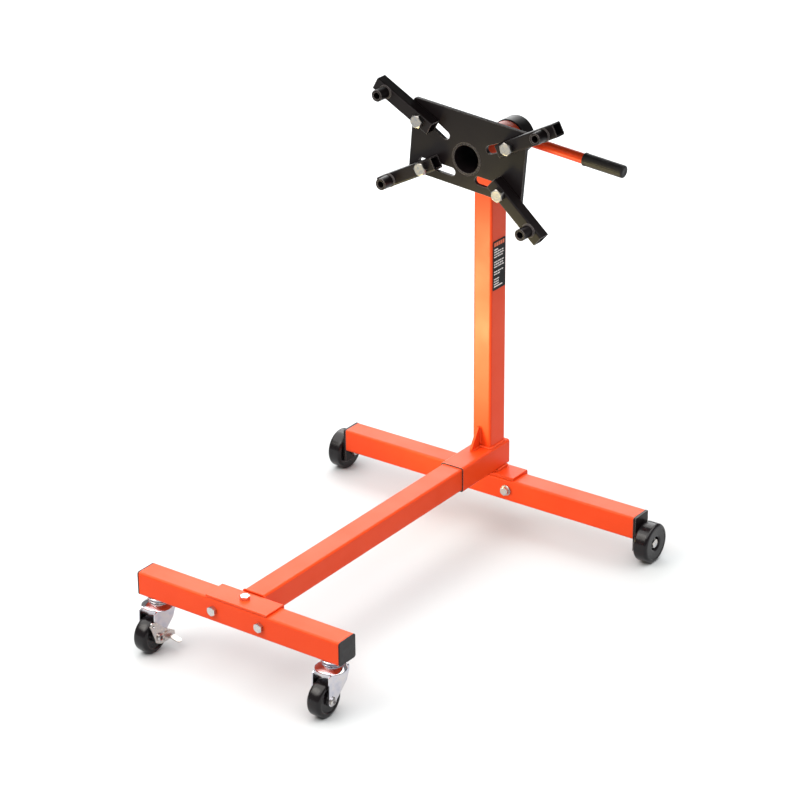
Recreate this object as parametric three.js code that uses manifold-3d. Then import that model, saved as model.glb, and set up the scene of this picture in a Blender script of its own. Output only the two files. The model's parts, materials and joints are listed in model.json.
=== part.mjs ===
// Rolling engine stand: T-shaped wheeled base, post, turning head with four slotted arms.
// Millimetres, +Z up. -Y is the side the engine hangs on, X runs across the stand.
import * as THREE from 'three';
import { mergeVertices } from 'three/addons/utils/BufferGeometryUtils.js';
import Module from 'manifold-3d';

const wasm = await Module();
wasm.setup();

// Driving dimensions.
const gap = 0.3;                  // air left between two pieces that touch in use
const barSize = 45;               // square tube of the base
const barWall = 2.5;
const barRadius = 4;              // outside corner radius of the base tubes

const frontBar = { length: 432, y: -386, bottom: 98 };
const rearBar = { length: 658, y: 366.3, bottom: 46.3 };
const cap = { flange: 3, plug: 14, wall: 2, corner: 1.6 };
const over = 2;                   // how far a cutter runs past the face that it cuts

const beam = { front: -358.9, rear: 387, bottom: 103.5 };
const sleeve = { size: 50, wall: 2.2, radius: 4.5, front: 235, rear: 391, bottom: 101 };
const sleeveBolt = { y: 262, shank: 14 };

const frontSaddle = { width: 132, thickness: 4, drop: 44, boltX: 50.5 };
const rearSaddle = { width: 130, thickness: 6, flange: 5, drop: 42, boltX: 49, padFront: 5, padRear: 3 };
const topBoltY = -383;

const post = { width: 40, depth: 50, wall: 2.5, radius: 4, y: 357.2, bottom: 151.3, top: 730 };
const gusset = { x: -5, thickness: 5, front: 305, nose: 6, height: 41, topDepth: 5 };
const label = { width: 41, height: 97, thickness: 0.5, y: 357, z: 519.5 };

const headZ = 741;                // height of the turning axis
const headTurn = 5.3;             // degrees the head is turned at rest
const headTube = { outer: 34, inner: 30.5, front: 288.2, rear: 414.5 };
const rotor = { outer: 30, inner: 26, front: 278.2, rear: 447 };
const collar = { outer: 36, inner: 30.3, front: 415, rear: 448, edge: 1.5 };
const plate = { halfWidth: 122, top: 84.5, bottom: -56.5, front: 278.8, thickness: 8, corner: 4 };
const slotHalf = 7.8;             // half the width of a slot in the plate
const upperSlot = { x: 47.5, z: 32, endX: 105, slope: 27 };
const lowerSlot = { x: 29, z: -33, endX: 93, slope: 0 };

const handleY = 433;
const handleBar = { radius: 10, wall: 2, start: -50, end: 232 };
const grip = { radius: 12, start: 153, end: 238, lip: 0.6, lipLength: 4, endEdge: 3 };
const lockPin = { y: 322, radius: 5.5, tip: -31, end: -66, bossRadius: 11, bossEnd: -45 };

const arm = { size: 25, wall: 2.5, radius: 3, inner: 26, outer: 108.5, stubAt: 82.5 };
const stub = { radius: 11, bore: 6.5, length: 27 };
const armSpots = [
  { name: 'upper_left', side: -1, slot: upperSlot, boltX: 92, angle: 156.6 },
  { name: 'lower_left', side: -1, slot: lowerSlot, boltX: 76.5, angle: 213 },
  { name: 'upper_right', side: 1, slot: upperSlot, boltX: 100, angle: 33 },
  { name: 'lower_right', side: 1, slot: lowerSlot, boltX: 91, angle: -36 },
];

const m10 = { radius: 5, hole: 5.6, flats: 16, head: 6.4, nut: 8 };
const m14 = { radius: 7, hole: 7.5, flats: 22, head: 9, nut: 12 };
const boltEnd = 3;                // length of a bolt's end past its nut
const washer = { radius: 10.5, thickness: 2 };

const rearWheel = {
  radius: 38, width: 30, inner: 335.5, y: 369, bore: 5.4, recess: 14, recessDepth: 9, hubStep: 0.8, corner: 5,
};
const axlePlate = { thickness: 5, bottom: 22, corner: 5 };
const rearAxle = {
  radius: 5, headRadius: 10, flangeHeight: 1.8, flats: 16, headHeight: 6.5, nutFlats: 15, nutHeight: 7,
};

const caster = {
  x: 189, y: -386, trail: 29, wheelRadius: 33, wheelWidth: 28, bore: 4.4, hub: 9, hubGap: 0.5, web: 2.5,
};
const fork = {
  half: 18.5, sheet: 2.5, crownBottom: 80, crownTop: 83, trackTop: 89, trackRadius: 23, trackEdge: 3,
  crownDepth: 55, crownCorner: 9, front: 36, rear: 19, hub: 10, kneeRear: 12, kneeHeight: 22, shoulder: 10,
};
const race = {
  radius: 22, bottom: 89.4, top: 97.7, edge: 2.5, stemRadius: 6, stemTop: 113, pinRadius: 5, pinClear: 0.6,
  headRadius: 8, headDepth: 5,
};
const casterAxle = { radius: 4, headRadius: 7.5, headHeight: 4, headEdge: 1.5 };
const brake = { sheet: 2.5, hubRadius: 12, tongueReach: 25, tongueWidth: 22, tongueCorner: 5 };

const wheelSteps = 36;            // facets round a wheel
const roundSteps = 28;            // facets round a tube or collar
const smallSteps = 12;            // facets round a bolt or bolt hole

// Materials.
const paints = {
  orange: { color: 0xf2562a, roughness: 0.42, metalness: 0.0 },
  black: { color: 0x1c1a1b, roughness: 0.45, metalness: 0.0 },
  zinc: { color: 0xc9c8c6, roughness: 0.32, metalness: 1.0 },
  chrome: { color: 0xdcdcde, roughness: 0.18, metalness: 1.0 },
  plastic: { color: 0x1f1e20, roughness: 0.5, metalness: 0.0 },
  tread: { color: 0x151416, roughness: 0.28, metalness: 0.0 },
  rubber: { color: 0x1b1b1c, roughness: 0.75, metalness: 0.0 },
  print: { color: 0x232324, roughness: 0.5, metalness: 0.0 },
};

// Solids and booleans.
// Welds a geometry's corners, drops its collapsed facets and turns it right side out.
function toSolid(geometry) {
  const bare = geometry.clone();
  bare.deleteAttribute('normal');
  bare.deleteAttribute('uv');
  const welded = mergeVertices(bare, 1e-4);
  const vertProperties = new Float32Array(welded.attributes.position.array);
  const corner = (index) => new THREE.Vector3().fromArray(vertProperties, index * 3);
  const facets = [];
  let volume = 0;
  for (let start = 0; start < welded.index.count; start += 3) {
    const [a, b, c] = welded.index.array.slice(start, start + 3);
    if (a !== b && b !== c && c !== a) {
      facets.push([a, b, c]);
      volume += corner(a).dot(corner(b).cross(corner(c)));
    }
  }
  const triVerts = new Uint32Array(facets.flatMap(([a, b, c]) => (volume > 0 ? [a, b, c] : [a, c, b])));
  return new wasm.Manifold(new wasm.Mesh({ numProp: 3, vertProperties, triVerts }));
}

function toGeometry(body) {
  const mesh = body.getMesh();
  const indexed = new THREE.BufferGeometry();
  indexed.setAttribute('position', new THREE.BufferAttribute(new Float32Array(mesh.vertProperties), 3));
  indexed.setIndex(new THREE.BufferAttribute(new Uint32Array(mesh.triVerts), 1));
  const flat = indexed.toNonIndexed();
  flat.computeVertexNormals();
  return flat;
}

function join(first, ...others) {
  return others.reduce((sum, next) => sum.add(next), first);
}

function cut(first, ...others) {
  return others.reduce((rest, next) => rest.subtract(next), first);
}

// Turns a geometry built along +Z so that it runs along the given axis, then moves it.
function lay(geometry, axis, position) {
  const turns = { x: [0, Math.PI / 2, 0], '-x': [0, -Math.PI / 2, 0], y: [-Math.PI / 2, 0, 0],
    '-y': [Math.PI / 2, 0, 0], z: [0, 0, 0], '-z': [Math.PI, 0, 0] };
  const turn = new THREE.Euler(...turns[axis]);
  const matrix = new THREE.Matrix4().makeRotationFromEuler(turn);
  return geometry.applyMatrix4(matrix).translate(...position);
}

function shapeFrom(points) {
  return new THREE.Shape(points.map(([x, y]) => new THREE.Vector2(x, y)));
}

function extrude(shape, depth, steps = 5) {
  return new THREE.ExtrudeGeometry(shape, { depth, bevelEnabled: false, curveSegments: steps });
}

function roundedRectangle(width, height, radius) {
  const x = width / 2;
  const y = height / 2;
  const shape = new THREE.Shape();
  shape.moveTo(-x + radius, -y);
  shape.lineTo(x - radius, -y);
  shape.absarc(x - radius, -y + radius, radius, -Math.PI / 2, 0);
  shape.lineTo(x, y - radius);
  shape.absarc(x - radius, y - radius, radius, 0, Math.PI / 2);
  shape.lineTo(-x + radius, y);
  shape.absarc(-x + radius, y - radius, radius, Math.PI / 2, Math.PI);
  shape.lineTo(-x, -y + radius);
  shape.absarc(-x + radius, -y + radius, radius, Math.PI, Math.PI * 1.5);
  return shape;
}

// A rectangular tube along the given axis, starting at the position.
function boxTube(width, height, wall, radius, length, axis, position) {
  const shape = roundedRectangle(width, height, radius);
  const hole = roundedRectangle(width - 2 * wall, height - 2 * wall, Math.max(radius - wall, 0.6));
  shape.holes.push(new THREE.Path(hole.getPoints(3)));
  return toSolid(lay(extrude(shape, length, 3), axis, position));
}

function block(width, depth, height, position) {
  return toSolid(new THREE.BoxGeometry(width, depth, height).translate(...position));
}

// A solid of revolution about +Z from [radius, height] pairs, laid along an axis.
function turned(profile, axis, position, steps = roundSteps) {
  const outline = profile[0][0] > 0 ? [...profile, profile[0]] : profile;
  const points = outline.map(([radius, height]) => new THREE.Vector2(radius, height));
  const geometry = new THREE.LatheGeometry(points, steps).rotateX(Math.PI / 2);
  return toSolid(lay(geometry, axis, position));
}

function rod(radius, length, axis, position, steps = roundSteps) {
  return turned([[0, 0], [radius, 0], [radius, length], [0, length]], axis, position, steps);
}

function pipe(outer, inner, length, axis, position, steps = roundSteps) {
  return turned([[inner, 0], [outer, 0], [outer, length], [inner, length]], axis, position, steps);
}

function hexagon(flats, length, axis, position) {
  const corner = flats / Math.sqrt(3);
  const points = [0, 1, 2, 3, 4, 5].map((step) => {
    const angle = (step * Math.PI) / 3 + Math.PI / 6;
    return [corner * Math.cos(angle), corner * Math.sin(angle)];
  });
  return toSolid(lay(extrude(shapeFrom(points), length), axis, position));
}

// A cone-edged disc that takes the sharp corners off the outer end of a hexagon.
function chamferDisc(flats, length, axis, position) {
  const corner = flats / Math.sqrt(3);
  const edge = corner * 0.16;
  const profile = [[0, 0], [corner, 0], [corner, length - edge * 0.6], [corner - edge, length], [0, length]];
  return turned(profile, axis, position, 12);
}

// Head at the position, its shank running back along the opposite direction.
function hexBolt(size, shank, axis, position) {
  const back = axis.startsWith('-') ? axis.slice(1) : `-${axis}`;
  const disc = chamferDisc(size.flats, size.head, axis, position);
  const head = hexagon(size.flats, size.head, axis, position).intersect(disc);
  const chamfer = size.radius * 0.15;
  const profile = [[0, -1], [size.radius, -1], [size.radius, shank - chamfer],
    [size.radius - chamfer, shank], [0, shank]];
  return join(head, turned(profile, back, position, smallSteps));
}

function hexNut(size, axis, position) {
  const hole = rod(size.radius + gap, size.nut + 2, axis, lift(position, axis, -1), smallSteps);
  return cut(hexagon(size.flats, size.nut, axis, position), hole);
}

function lift(position, axis, amount) {
  const signs = { x: [1, 0, 0], '-x': [-1, 0, 0], y: [0, 1, 0], '-y': [0, -1, 0], z: [0, 0, 1],
    '-z': [0, 0, -1] };
  return position.map((value, index) => value + signs[axis][index] * amount);
}

// Assembly.
const stand = new THREE.Group();
stand.name = 'engine_stand';

function addPiece(name, body, paint) {
  const mesh = new THREE.Mesh(toGeometry(body), new THREE.MeshStandardMaterial(paints[paint]));
  mesh.name = name;
  stand.add(mesh);
}

const sides = [{ name: 'left', sign: -1 }, { name: 'right', sign: 1 }];

// Front crossbar with its end caps.
const frontMid = frontBar.bottom + barSize / 2;
const frontTop = frontBar.bottom + barSize;
const frontFace = frontBar.y - barSize / 2;
const frontBack = frontBar.y + barSize / 2;
{
  const start = [-frontBar.length / 2, frontBar.y, frontMid];
  const tube = boxTube(barSize, barSize, barWall, barRadius, frontBar.length, 'x', start);
  const through = barSize + 2 * over;
  const holes = [rod(m10.hole, through, 'z', [0, topBoltY, frontBar.bottom - over], smallSteps)];
  for (const side of sides) {
    const boltX = side.sign * frontSaddle.boltX;
    const stemX = side.sign * caster.x;
    holes.push(rod(m10.hole, through, 'y', [boltX, frontFace - over, frontMid], smallSteps));
    const stemHole = [stemX, caster.y, frontBar.bottom - over];
    holes.push(rod(race.stemRadius + gap, barWall + 2 * over, 'z', stemHole, smallSteps));
  }
  addPiece('front_crossbar', cut(tube, ...holes), 'orange');
}

for (const side of sides) {
  const end = side.sign * frontBar.length / 2;
  const out = side.sign > 0 ? 'x' : '-x';
  const back = side.sign > 0 ? '-x' : 'x';
  const flangeShape = roundedRectangle(barSize, barSize, barRadius);
  const face = [end + side.sign * gap, frontBar.y, frontMid];
  const flange = toSolid(lay(extrude(flangeShape, cap.flange - gap, 4), out, face));
  const inside = barSize - 2 * barWall - 2 * gap;
  const root = [end + side.sign * (gap + 1), frontBar.y, frontMid];
  const plug = boxTube(inside, inside, cap.wall, cap.corner, cap.plug + 1, back, root);
  addPiece(`front_cap_${side.name}`, join(flange, plug), 'plastic');
}

// Centre beam, welded to the saddle in front and sliding into the sleeve behind.
const beamMid = beam.bottom + barSize / 2;
{
  const start = [0, beam.front, beamMid];
  const tube = boxTube(barSize, barSize, barWall, barRadius, beam.rear - beam.front, 'y', start);
  const holeAt = [0, sleeveBolt.y, beam.bottom - over];
  const hole = rod(m10.hole, barWall + 2 * over, 'z', holeAt, smallSteps);
  addPiece('centre_beam', cut(tube, hole), 'orange');
}

// An angle plate: a flat top with a flange hanging at its rear edge.
function saddleProfile(depth, thickness, flange, drop) {
  const bend = thickness * 0.9;
  const shape = new THREE.Shape();
  shape.moveTo(0, 0);
  shape.lineTo(depth - flange, 0);
  shape.lineTo(depth - flange, -drop);
  shape.lineTo(depth, -drop);
  shape.lineTo(depth, thickness - bend);
  shape.absarc(depth - bend, thickness - bend, bend, 0, Math.PI / 2);
  shape.lineTo(0, thickness);
  return shape;
}

// The profile is drawn in Y and Z and pulled out along X.
function saddleBody(width, depth, thickness, flange, drop, y, z) {
  const geometry = extrude(saddleProfile(depth, thickness, flange, drop), width, 3);
  const matrix = new THREE.Matrix4().set(0, 0, 1, -width / 2, 1, 0, 0, y, 0, 1, 0, z, 0, 0, 0, 1);
  return toSolid(geometry.applyMatrix4(matrix));
}

{
  const size = frontSaddle;
  const depth = barSize + gap + size.thickness;
  const body = saddleBody(size.width, depth, size.thickness, size.thickness, size.drop,
    frontFace, frontTop + gap);
  const holes = sides.map((side) =>
    rod(m10.hole, size.thickness + 2 * over, 'y', [side.sign * size.boltX, frontBack + gap - over, frontMid],
      smallSteps));
  holes.push(rod(m10.hole, size.thickness + 2 * over, 'z', [0, topBoltY, frontTop + gap - over], smallSteps));
  addPiece('front_saddle', cut(body, ...holes), 'orange');
}

{
  const flangeBack = frontBack + gap + frontSaddle.thickness;
  const shank = barSize + 3 * gap + frontSaddle.thickness + m10.nut + boltEnd;
  for (const side of sides) {
    const x = side.sign * frontSaddle.boltX;
    const head = [x, frontFace - gap, frontMid];
    addPiece(`front_bolt_${side.name}`, hexBolt(m10, shank, '-y', head), 'zinc');
    addPiece(`front_nut_${side.name}`, hexNut(m10, 'y', [x, flangeBack + gap, frontMid]), 'zinc');
  }
  const topHead = [0, topBoltY, frontTop + 2 * gap + frontSaddle.thickness];
  addPiece('front_bolt_top', hexBolt(m10, shank, 'z', topHead), 'zinc');
  addPiece('front_nut_top', hexNut(m10, '-z', [0, topBoltY, frontBar.bottom - gap]), 'zinc');
}

// Rear crossbar and the saddle that joins it to the sleeve.
const rearMid = rearBar.bottom + barSize / 2;
const rearTop = rearBar.bottom + barSize;
const rearFace = rearBar.y - barSize / 2;
const rearBack = rearBar.y + barSize / 2;
{
  const start = [-rearBar.length / 2, rearBar.y, rearMid];
  const tube = boxTube(barSize, barSize, barWall, barRadius, rearBar.length, 'x', start);
  const holes = sides.map((side) =>
    rod(m10.hole, barSize + 2 * over, 'y', [side.sign * rearSaddle.boltX, rearFace - over, rearMid],
      smallSteps));
  addPiece('rear_crossbar', cut(tube, ...holes), 'orange');
}

{
  const size = rearSaddle;
  const depth = barSize + gap + size.flange;
  const body = saddleBody(size.width, depth, size.thickness, size.flange, size.drop, rearFace, rearTop + gap);
  const padBottom = rearTop + gap + size.thickness - 1;
  const padTop = sleeve.bottom - gap;
  const padFront = rearFace + size.padFront;
  const padDepth = sleeve.rear - size.padRear - padFront;
  const pad = block(sleeve.size, padDepth, padTop - padBottom,
    [0, padFront + padDepth / 2, (padTop + padBottom) / 2]);
  const holes = sides.map((side) =>
    rod(m10.hole, size.flange + 2 * over, 'y', [side.sign * size.boltX, rearBack + gap - over, rearMid],
      smallSteps));
  addPiece('rear_saddle', cut(join(body, pad), ...holes), 'orange');
}

for (const side of sides) {
  const x = side.sign * rearSaddle.boltX;
  const shank = washer.thickness + barSize + 3 * gap + rearSaddle.flange + m10.nut + boltEnd;
  const head = [x, rearFace - gap - washer.thickness, rearMid];
  const ring = rod(washer.radius, washer.thickness, 'y', head, smallSteps);
  addPiece(`rear_bolt_${side.name}`, join(hexBolt(m10, shank, '-y', head), ring), 'zinc');
  const nutAt = [x, rearBack + 2 * gap + rearSaddle.flange, rearMid];
  addPiece(`rear_nut_${side.name}`, hexNut(m10, 'y', nutAt), 'zinc');
}

// Sleeve that the beam slides into, its clamping bolt and the plug behind the beam.
const sleeveMid = sleeve.bottom + sleeve.size / 2;
{
  const start = [0, sleeve.front, sleeveMid];
  const length = sleeve.rear - sleeve.front;
  const tube = boxTube(sleeve.size, sleeve.size, sleeve.wall, sleeve.radius, length, 'y', start);
  const holeAt = [0, sleeveBolt.y, sleeve.bottom - over];
  const hole = rod(m10.hole, sleeve.wall + 2 * over, 'z', holeAt, smallSteps);
  addPiece('base_sleeve', cut(tube, hole), 'orange');
  const head = [0, sleeveBolt.y, sleeve.bottom - gap];
  addPiece('sleeve_bolt', hexBolt(m10, sleeveBolt.shank, '-z', head), 'zinc');
}

{
  const flangeSize = sleeve.size - 2 * sleeve.wall - 2 * gap;
  const inside = barSize - 2 * barWall - 2 * gap;
  const face = [0, beam.rear + gap, beamMid];
  const shape = roundedRectangle(flangeSize, flangeSize, cap.corner);
  const flange = toSolid(lay(extrude(shape, cap.flange, 4), 'y', face));
  const root = [0, beam.rear + gap + 1, beamMid];
  const plug = boxTube(inside, inside, cap.wall, cap.corner, cap.plug, '-y', root);
  addPiece('beam_end_cap', join(flange, plug), 'plastic');
}

// Post, coped round the head tube, with a gusset in front of its foot.
{
  const start = [0, post.y, post.bottom];
  const tube = boxTube(post.width, post.depth, post.wall, post.radius, post.top - post.bottom, 'z', start);
  const cope = rod(headTube.outer + gap, 200, 'y', [0, post.y - 100, headZ]);
  addPiece('post', cut(tube, cope), 'orange');
}

{
  const back = post.y - post.depth / 2 - gap;
  const low = post.bottom;
  const points = [[back, low], [gusset.front, low], [gusset.front, low + gusset.nose],
    [back - gusset.topDepth, low + gusset.height], [back, low + gusset.height]];
  const geometry = extrude(shapeFrom(points.reverse()), gusset.thickness);
  const matrix = new THREE.Matrix4().set(0, 0, 1, gusset.x - gusset.thickness / 2,
    1, 0, 0, 0, 0, 1, 0, 0, 0, 0, 0, 1);
  addPiece('post_gusset', toSolid(geometry.applyMatrix4(matrix)), 'orange');
}

addPiece('warning_label', block(label.thickness, label.width, label.height,
  [post.width / 2 + gap + label.thickness / 2, label.y, label.z]), 'print');

// Rear wheels on bolts through the plates that close the crossbar's ends.
function tyreProfile({ radius, width, bore, hubStep, corner, recess, recessDepth }) {
  const steps = [0, 0.5, 1].map((part) => (part * Math.PI) / 2);
  const low = steps.map((angle) =>
    [radius - corner + corner * Math.sin(angle), corner - corner * Math.cos(angle)]);
  const high = steps.map((angle) =>
    [radius - corner + corner * Math.cos(angle), width - corner + corner * Math.sin(angle)]);
  const dish = [[recess + 4, width - 1.2], [recess, width - recessDepth], [bore, width - recessDepth]];
  return [[bore, -hubStep], [recess * 0.7, -hubStep], [recess * 0.8, 0], ...low, ...high, ...dish];
}

for (const side of sides) {
  const out = side.sign > 0 ? 'x' : '-x';
  const back = side.sign > 0 ? '-x' : 'x';
  const plateStart = side.sign * (rearBar.length / 2 + gap);
  const plateHeight = rearTop - axlePlate.bottom;
  const shape = roundedRectangle(barSize, plateHeight, axlePlate.corner);
  const geometry = extrude(shape, axlePlate.thickness, 4);
  // The outline is drawn in Y and Z and pulled outward along X.
  const plateX = side.sign > 0 ? plateStart : plateStart - axlePlate.thickness;
  const plateZ = axlePlate.bottom + plateHeight / 2;
  const matrix = new THREE.Matrix4().set(0, 0, 1, plateX, 1, 0, 0, rearBar.y, 0, 1, 0, plateZ, 0, 0, 0, 1);
  const bracket = toSolid(geometry.applyMatrix4(matrix));
  const axisStart = [side.sign * (rearBar.length / 2 - 4), rearWheel.y, rearWheel.radius];
  const hole = rod(rearAxle.radius + gap, 16, out, axisStart, smallSteps);
  addPiece(`axle_bracket_${side.name}`, cut(bracket, hole), 'black');

  const wheelAt = [side.sign * rearWheel.inner, rearWheel.y, rearWheel.radius];
  const profile = tyreProfile(rearWheel);
  addPiece(`rear_wheel_${side.name}`, turned(profile, out, wheelAt, wheelSteps), 'tread');

  const headFloor = rearWheel.inner + rearWheel.width - rearWheel.recessDepth + gap;
  const headAt = [side.sign * headFloor, rearWheel.y, rearWheel.radius];
  const shank = headFloor - rearBar.length / 2 + rearAxle.nutHeight + 2;
  const size = { radius: rearAxle.radius, flats: rearAxle.flats, head: rearAxle.headHeight };
  const flange = rod(rearAxle.headRadius, rearAxle.flangeHeight, out, headAt, smallSteps);
  addPiece(`rear_axle_${side.name}`, join(hexBolt(size, shank, out, headAt), flange), 'zinc');

  const nutAt = [side.sign * (rearBar.length / 2), rearWheel.y, rearWheel.radius];
  const nut = { radius: rearAxle.radius, flats: rearAxle.nutFlats, nut: rearAxle.nutHeight };
  addPiece(`rear_axle_nut_${side.name}`, hexNut(nut, back, nutAt), 'zinc');
}

// Swivel casters under the front crossbar.
function forkLeg(start) {
  const wheelY = caster.y - caster.trail;
  const wheelZ = caster.wheelRadius;
  const shape = new THREE.Shape();
  shape.moveTo(caster.y - fork.front, fork.crownTop);
  shape.lineTo(wheelY - fork.hub * 0.9, wheelZ + fork.hub * 0.4);
  shape.absarc(wheelY, wheelZ, fork.hub, Math.PI * 0.87, Math.PI * 1.78, false);
  shape.lineTo(caster.y + fork.kneeRear, wheelZ + fork.kneeHeight);
  shape.lineTo(caster.y + fork.rear, fork.crownTop - fork.shoulder);
  shape.lineTo(caster.y + fork.rear, fork.crownTop);
  const matrix = new THREE.Matrix4().set(0, 0, 1, start, 1, 0, 0, 0, 0, 1, 0, 0, 0, 0, 0, 1);
  return toSolid(extrude(shape, fork.sheet, 8).applyMatrix4(matrix));
}

for (const side of sides) {
  const x = side.sign * caster.x;
  const wheelY = caster.y - caster.trail;
  const wheelZ = caster.wheelRadius;

  const headBottom = fork.crownBottom - race.headDepth;
  const stem = [[0, headBottom], [race.headRadius, headBottom], [race.headRadius, fork.crownBottom - gap],
    [race.pinRadius, fork.crownBottom - gap], [race.pinRadius, race.bottom],
    [race.radius - race.edge, race.bottom], [race.radius, race.bottom + race.edge],
    [race.radius, race.top - race.edge], [race.radius - race.edge, race.top], [race.stemRadius, race.top],
    [race.stemRadius, race.stemTop - 1], [race.stemRadius - 1, race.stemTop], [0, race.stemTop]];
  addPiece(`caster_race_${side.name}`, turned(stem, 'z', [x, caster.y, 0]), 'chrome');

  const crownShape = roundedRectangle(2 * fork.half, fork.crownDepth, fork.crownCorner);
  const crownAt = [x, caster.y + fork.rear - fork.crownDepth / 2, fork.crownBottom];
  const crown = toSolid(lay(extrude(crownShape, fork.crownTop - fork.crownBottom, 6), 'z', crownAt));
  const pinHoleRadius = race.pinRadius + race.pinClear;
  const trackProfile = [[pinHoleRadius, fork.crownBottom], [fork.trackRadius, fork.crownBottom],
    [fork.trackRadius, fork.trackTop - fork.trackEdge], [fork.trackRadius - fork.trackEdge, fork.trackTop],
    [pinHoleRadius, fork.trackTop]];
  const track = turned(trackProfile, 'z', [x, caster.y, 0]);
  const legs = [forkLeg(x - fork.half), forkLeg(x + fork.half - fork.sheet)];
  const trackDepth = fork.trackTop - fork.crownBottom + 2 * over;
  const pinHole = rod(pinHoleRadius, trackDepth, 'z', [x, caster.y, fork.crownBottom - over], roundSteps);
  const axleStart = [x - fork.half - over, wheelY, wheelZ];
  const axleHole = rod(casterAxle.radius + gap, 2 * (fork.half + over), 'x', axleStart, smallSteps);
  const forkBody = cut(join(crown, track, ...legs), pinHole, axleHole);
  addPiece(`caster_fork_${side.name}`, forkBody, 'chrome');

  const half = caster.wheelWidth / 2;
  const crownPoints = [[caster.wheelRadius - 7, -half], [caster.wheelRadius - 2.4, -half + 2.4],
    [caster.wheelRadius, -half + 7.5], [caster.wheelRadius, half - 7.5],
    [caster.wheelRadius - 2.4, half - 2.4], [caster.wheelRadius - 7, half]];
  const hubEdge = fork.half - fork.sheet - caster.hubGap;
  const webEdge = half - caster.web;
  const rim = caster.wheelRadius - 9;
  const wheelProfile = [[caster.bore, -hubEdge], [caster.hub, -hubEdge], [caster.hub + 1, -webEdge],
    [rim, -webEdge], ...crownPoints, [rim, webEdge], [caster.hub + 1, webEdge], [caster.hub, hubEdge],
    [caster.bore, hubEdge]];
  addPiece(`caster_wheel_${side.name}`, turned(wheelProfile, 'x', [x, wheelY, wheelZ], wheelSteps), 'tread');

  const braked = side.sign < 0;
  const outer = fork.half + gap + (braked ? brake.sheet + gap : 0);
  const inner = fork.half + gap;
  const { radius, headRadius, headHeight, headEdge } = casterAxle;
  const axleProfile = [[0, -inner - headHeight], [headRadius - headEdge, -inner - headHeight],
    [headRadius, -inner - headHeight + headEdge], [headRadius, -inner], [radius, -inner], [radius, outer],
    [headRadius, outer], [headRadius, outer + headHeight - headEdge],
    [headRadius - headEdge, outer + headHeight], [0, outer + headHeight]];
  addPiece(`caster_axle_${side.name}`, turned(axleProfile, 'x', [x, wheelY, wheelZ], smallSteps), 'zinc');
}

// Brake lever: a side plate on the left caster's axle with a foot tongue bent outward.
{
  const x = -caster.x + fork.half + gap;
  const wheelY = caster.y - caster.trail;
  const wheelZ = caster.wheelRadius;
  const shape = new THREE.Shape();
  shape.moveTo(wheelY - 12, wheelZ + 3);
  shape.absarc(wheelY, wheelZ, brake.hubRadius, Math.PI * 0.92, Math.PI * 1.7, false);
  shape.lineTo(wheelY + 30, wheelZ - 16);
  shape.lineTo(wheelY + 41, wheelZ - 13);
  shape.lineTo(wheelY + 40, wheelZ - 4);
  shape.lineTo(wheelY + 14, wheelZ + 12);
  shape.lineTo(wheelY - 6, wheelZ + 31);
  shape.lineTo(wheelY - 19, wheelZ + 36);
  shape.lineTo(wheelY - 23, wheelZ + 29);
  const matrix = new THREE.Matrix4().set(0, 0, 1, x, 1, 0, 0, 0, 0, 1, 0, 0, 0, 0, 0, 1);
  const side = toSolid(extrude(shape, brake.sheet, 8).applyMatrix4(matrix));
  const tongueShape = roundedRectangle(brake.tongueReach, brake.tongueWidth, brake.tongueCorner);
  const tongueGeometry = extrude(tongueShape, brake.sheet, 4).rotateY(0.2).rotateX(0.12);
  const tongueAt = [x + brake.tongueReach / 2 - 0.4, wheelY + 30, wheelZ - 14];
  const tongue = toSolid(tongueGeometry.translate(...tongueAt));
  const holeStart = [x - over, wheelY, wheelZ];
  const hole = rod(casterAxle.radius + gap, brake.sheet + 2 * over, 'x', holeStart, smallSteps);
  addPiece('brake_lever', cut(join(side, tongue), hole), 'zinc');
}

// Fixed head tube.
{
  const length = headTube.rear - headTube.front;
  const tube = pipe(headTube.outer, headTube.inner, length, 'y', [0, headTube.front, headZ]);
  const bossLength = -(headTube.outer - 2) - lockPin.bossEnd;
  const boss = rod(lockPin.bossRadius, bossLength, 'x', [lockPin.bossEnd, lockPin.y, headZ], smallSteps);
  const hole = rod(lockPin.radius + gap, 40, 'x', [-60, lockPin.y, headZ], smallSteps);
  const bore = rod(headTube.inner, length + 20, 'y', [0, headTube.front - 10, headZ]);
  addPiece('head_tube', cut(join(tube, boss), hole, bore), 'orange');

  const pinProfile = [[0, 0], [lockPin.radius - 2, 0], [lockPin.radius, 2], [lockPin.radius, 18],
    [8.5, 18], [8.5, 21], [6, 24], [6, 27], [9, 30], [9, 33], [7, 35], [0, 35]];
  addPiece('lock_pin', turned(pinProfile, '-x', [lockPin.tip, lockPin.y, headZ], smallSteps), 'zinc');
}

// Turning head.
// Built square to the frame about the turning axis, then turned to its rest angle.
const headRest = new THREE.Matrix4().makeTranslation(0, 0, headZ)
  .multiply(new THREE.Matrix4().makeRotationY((headTurn * Math.PI) / 180));

function addHeadPiece(name, body, paint) {
  addPiece(name, toSolid(toGeometry(body).applyMatrix4(headRest)), paint);
}

function slotCutter(slot, side) {
  const rise = Math.tan((slot.slope * Math.PI) / 180);
  const from = new THREE.Vector2(side * slot.x, slot.z);
  const to = new THREE.Vector2(side * slot.endX, slot.z + (slot.endX - slot.x) * rise);
  const turn = Math.atan2(to.y - from.y, to.x - from.x);
  const shape = new THREE.Shape();
  shape.absarc(to.x, to.y, slotHalf, turn - Math.PI / 2, turn + Math.PI / 2, false);
  shape.absarc(from.x, from.y, slotHalf, turn + Math.PI / 2, turn + Math.PI * 1.5, false);
  const rear = plate.front + plate.thickness + over;
  return toSolid(lay(extrude(shape, plate.thickness + 2 * over, 8), '-y', [0, rear, 0]));
}

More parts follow.
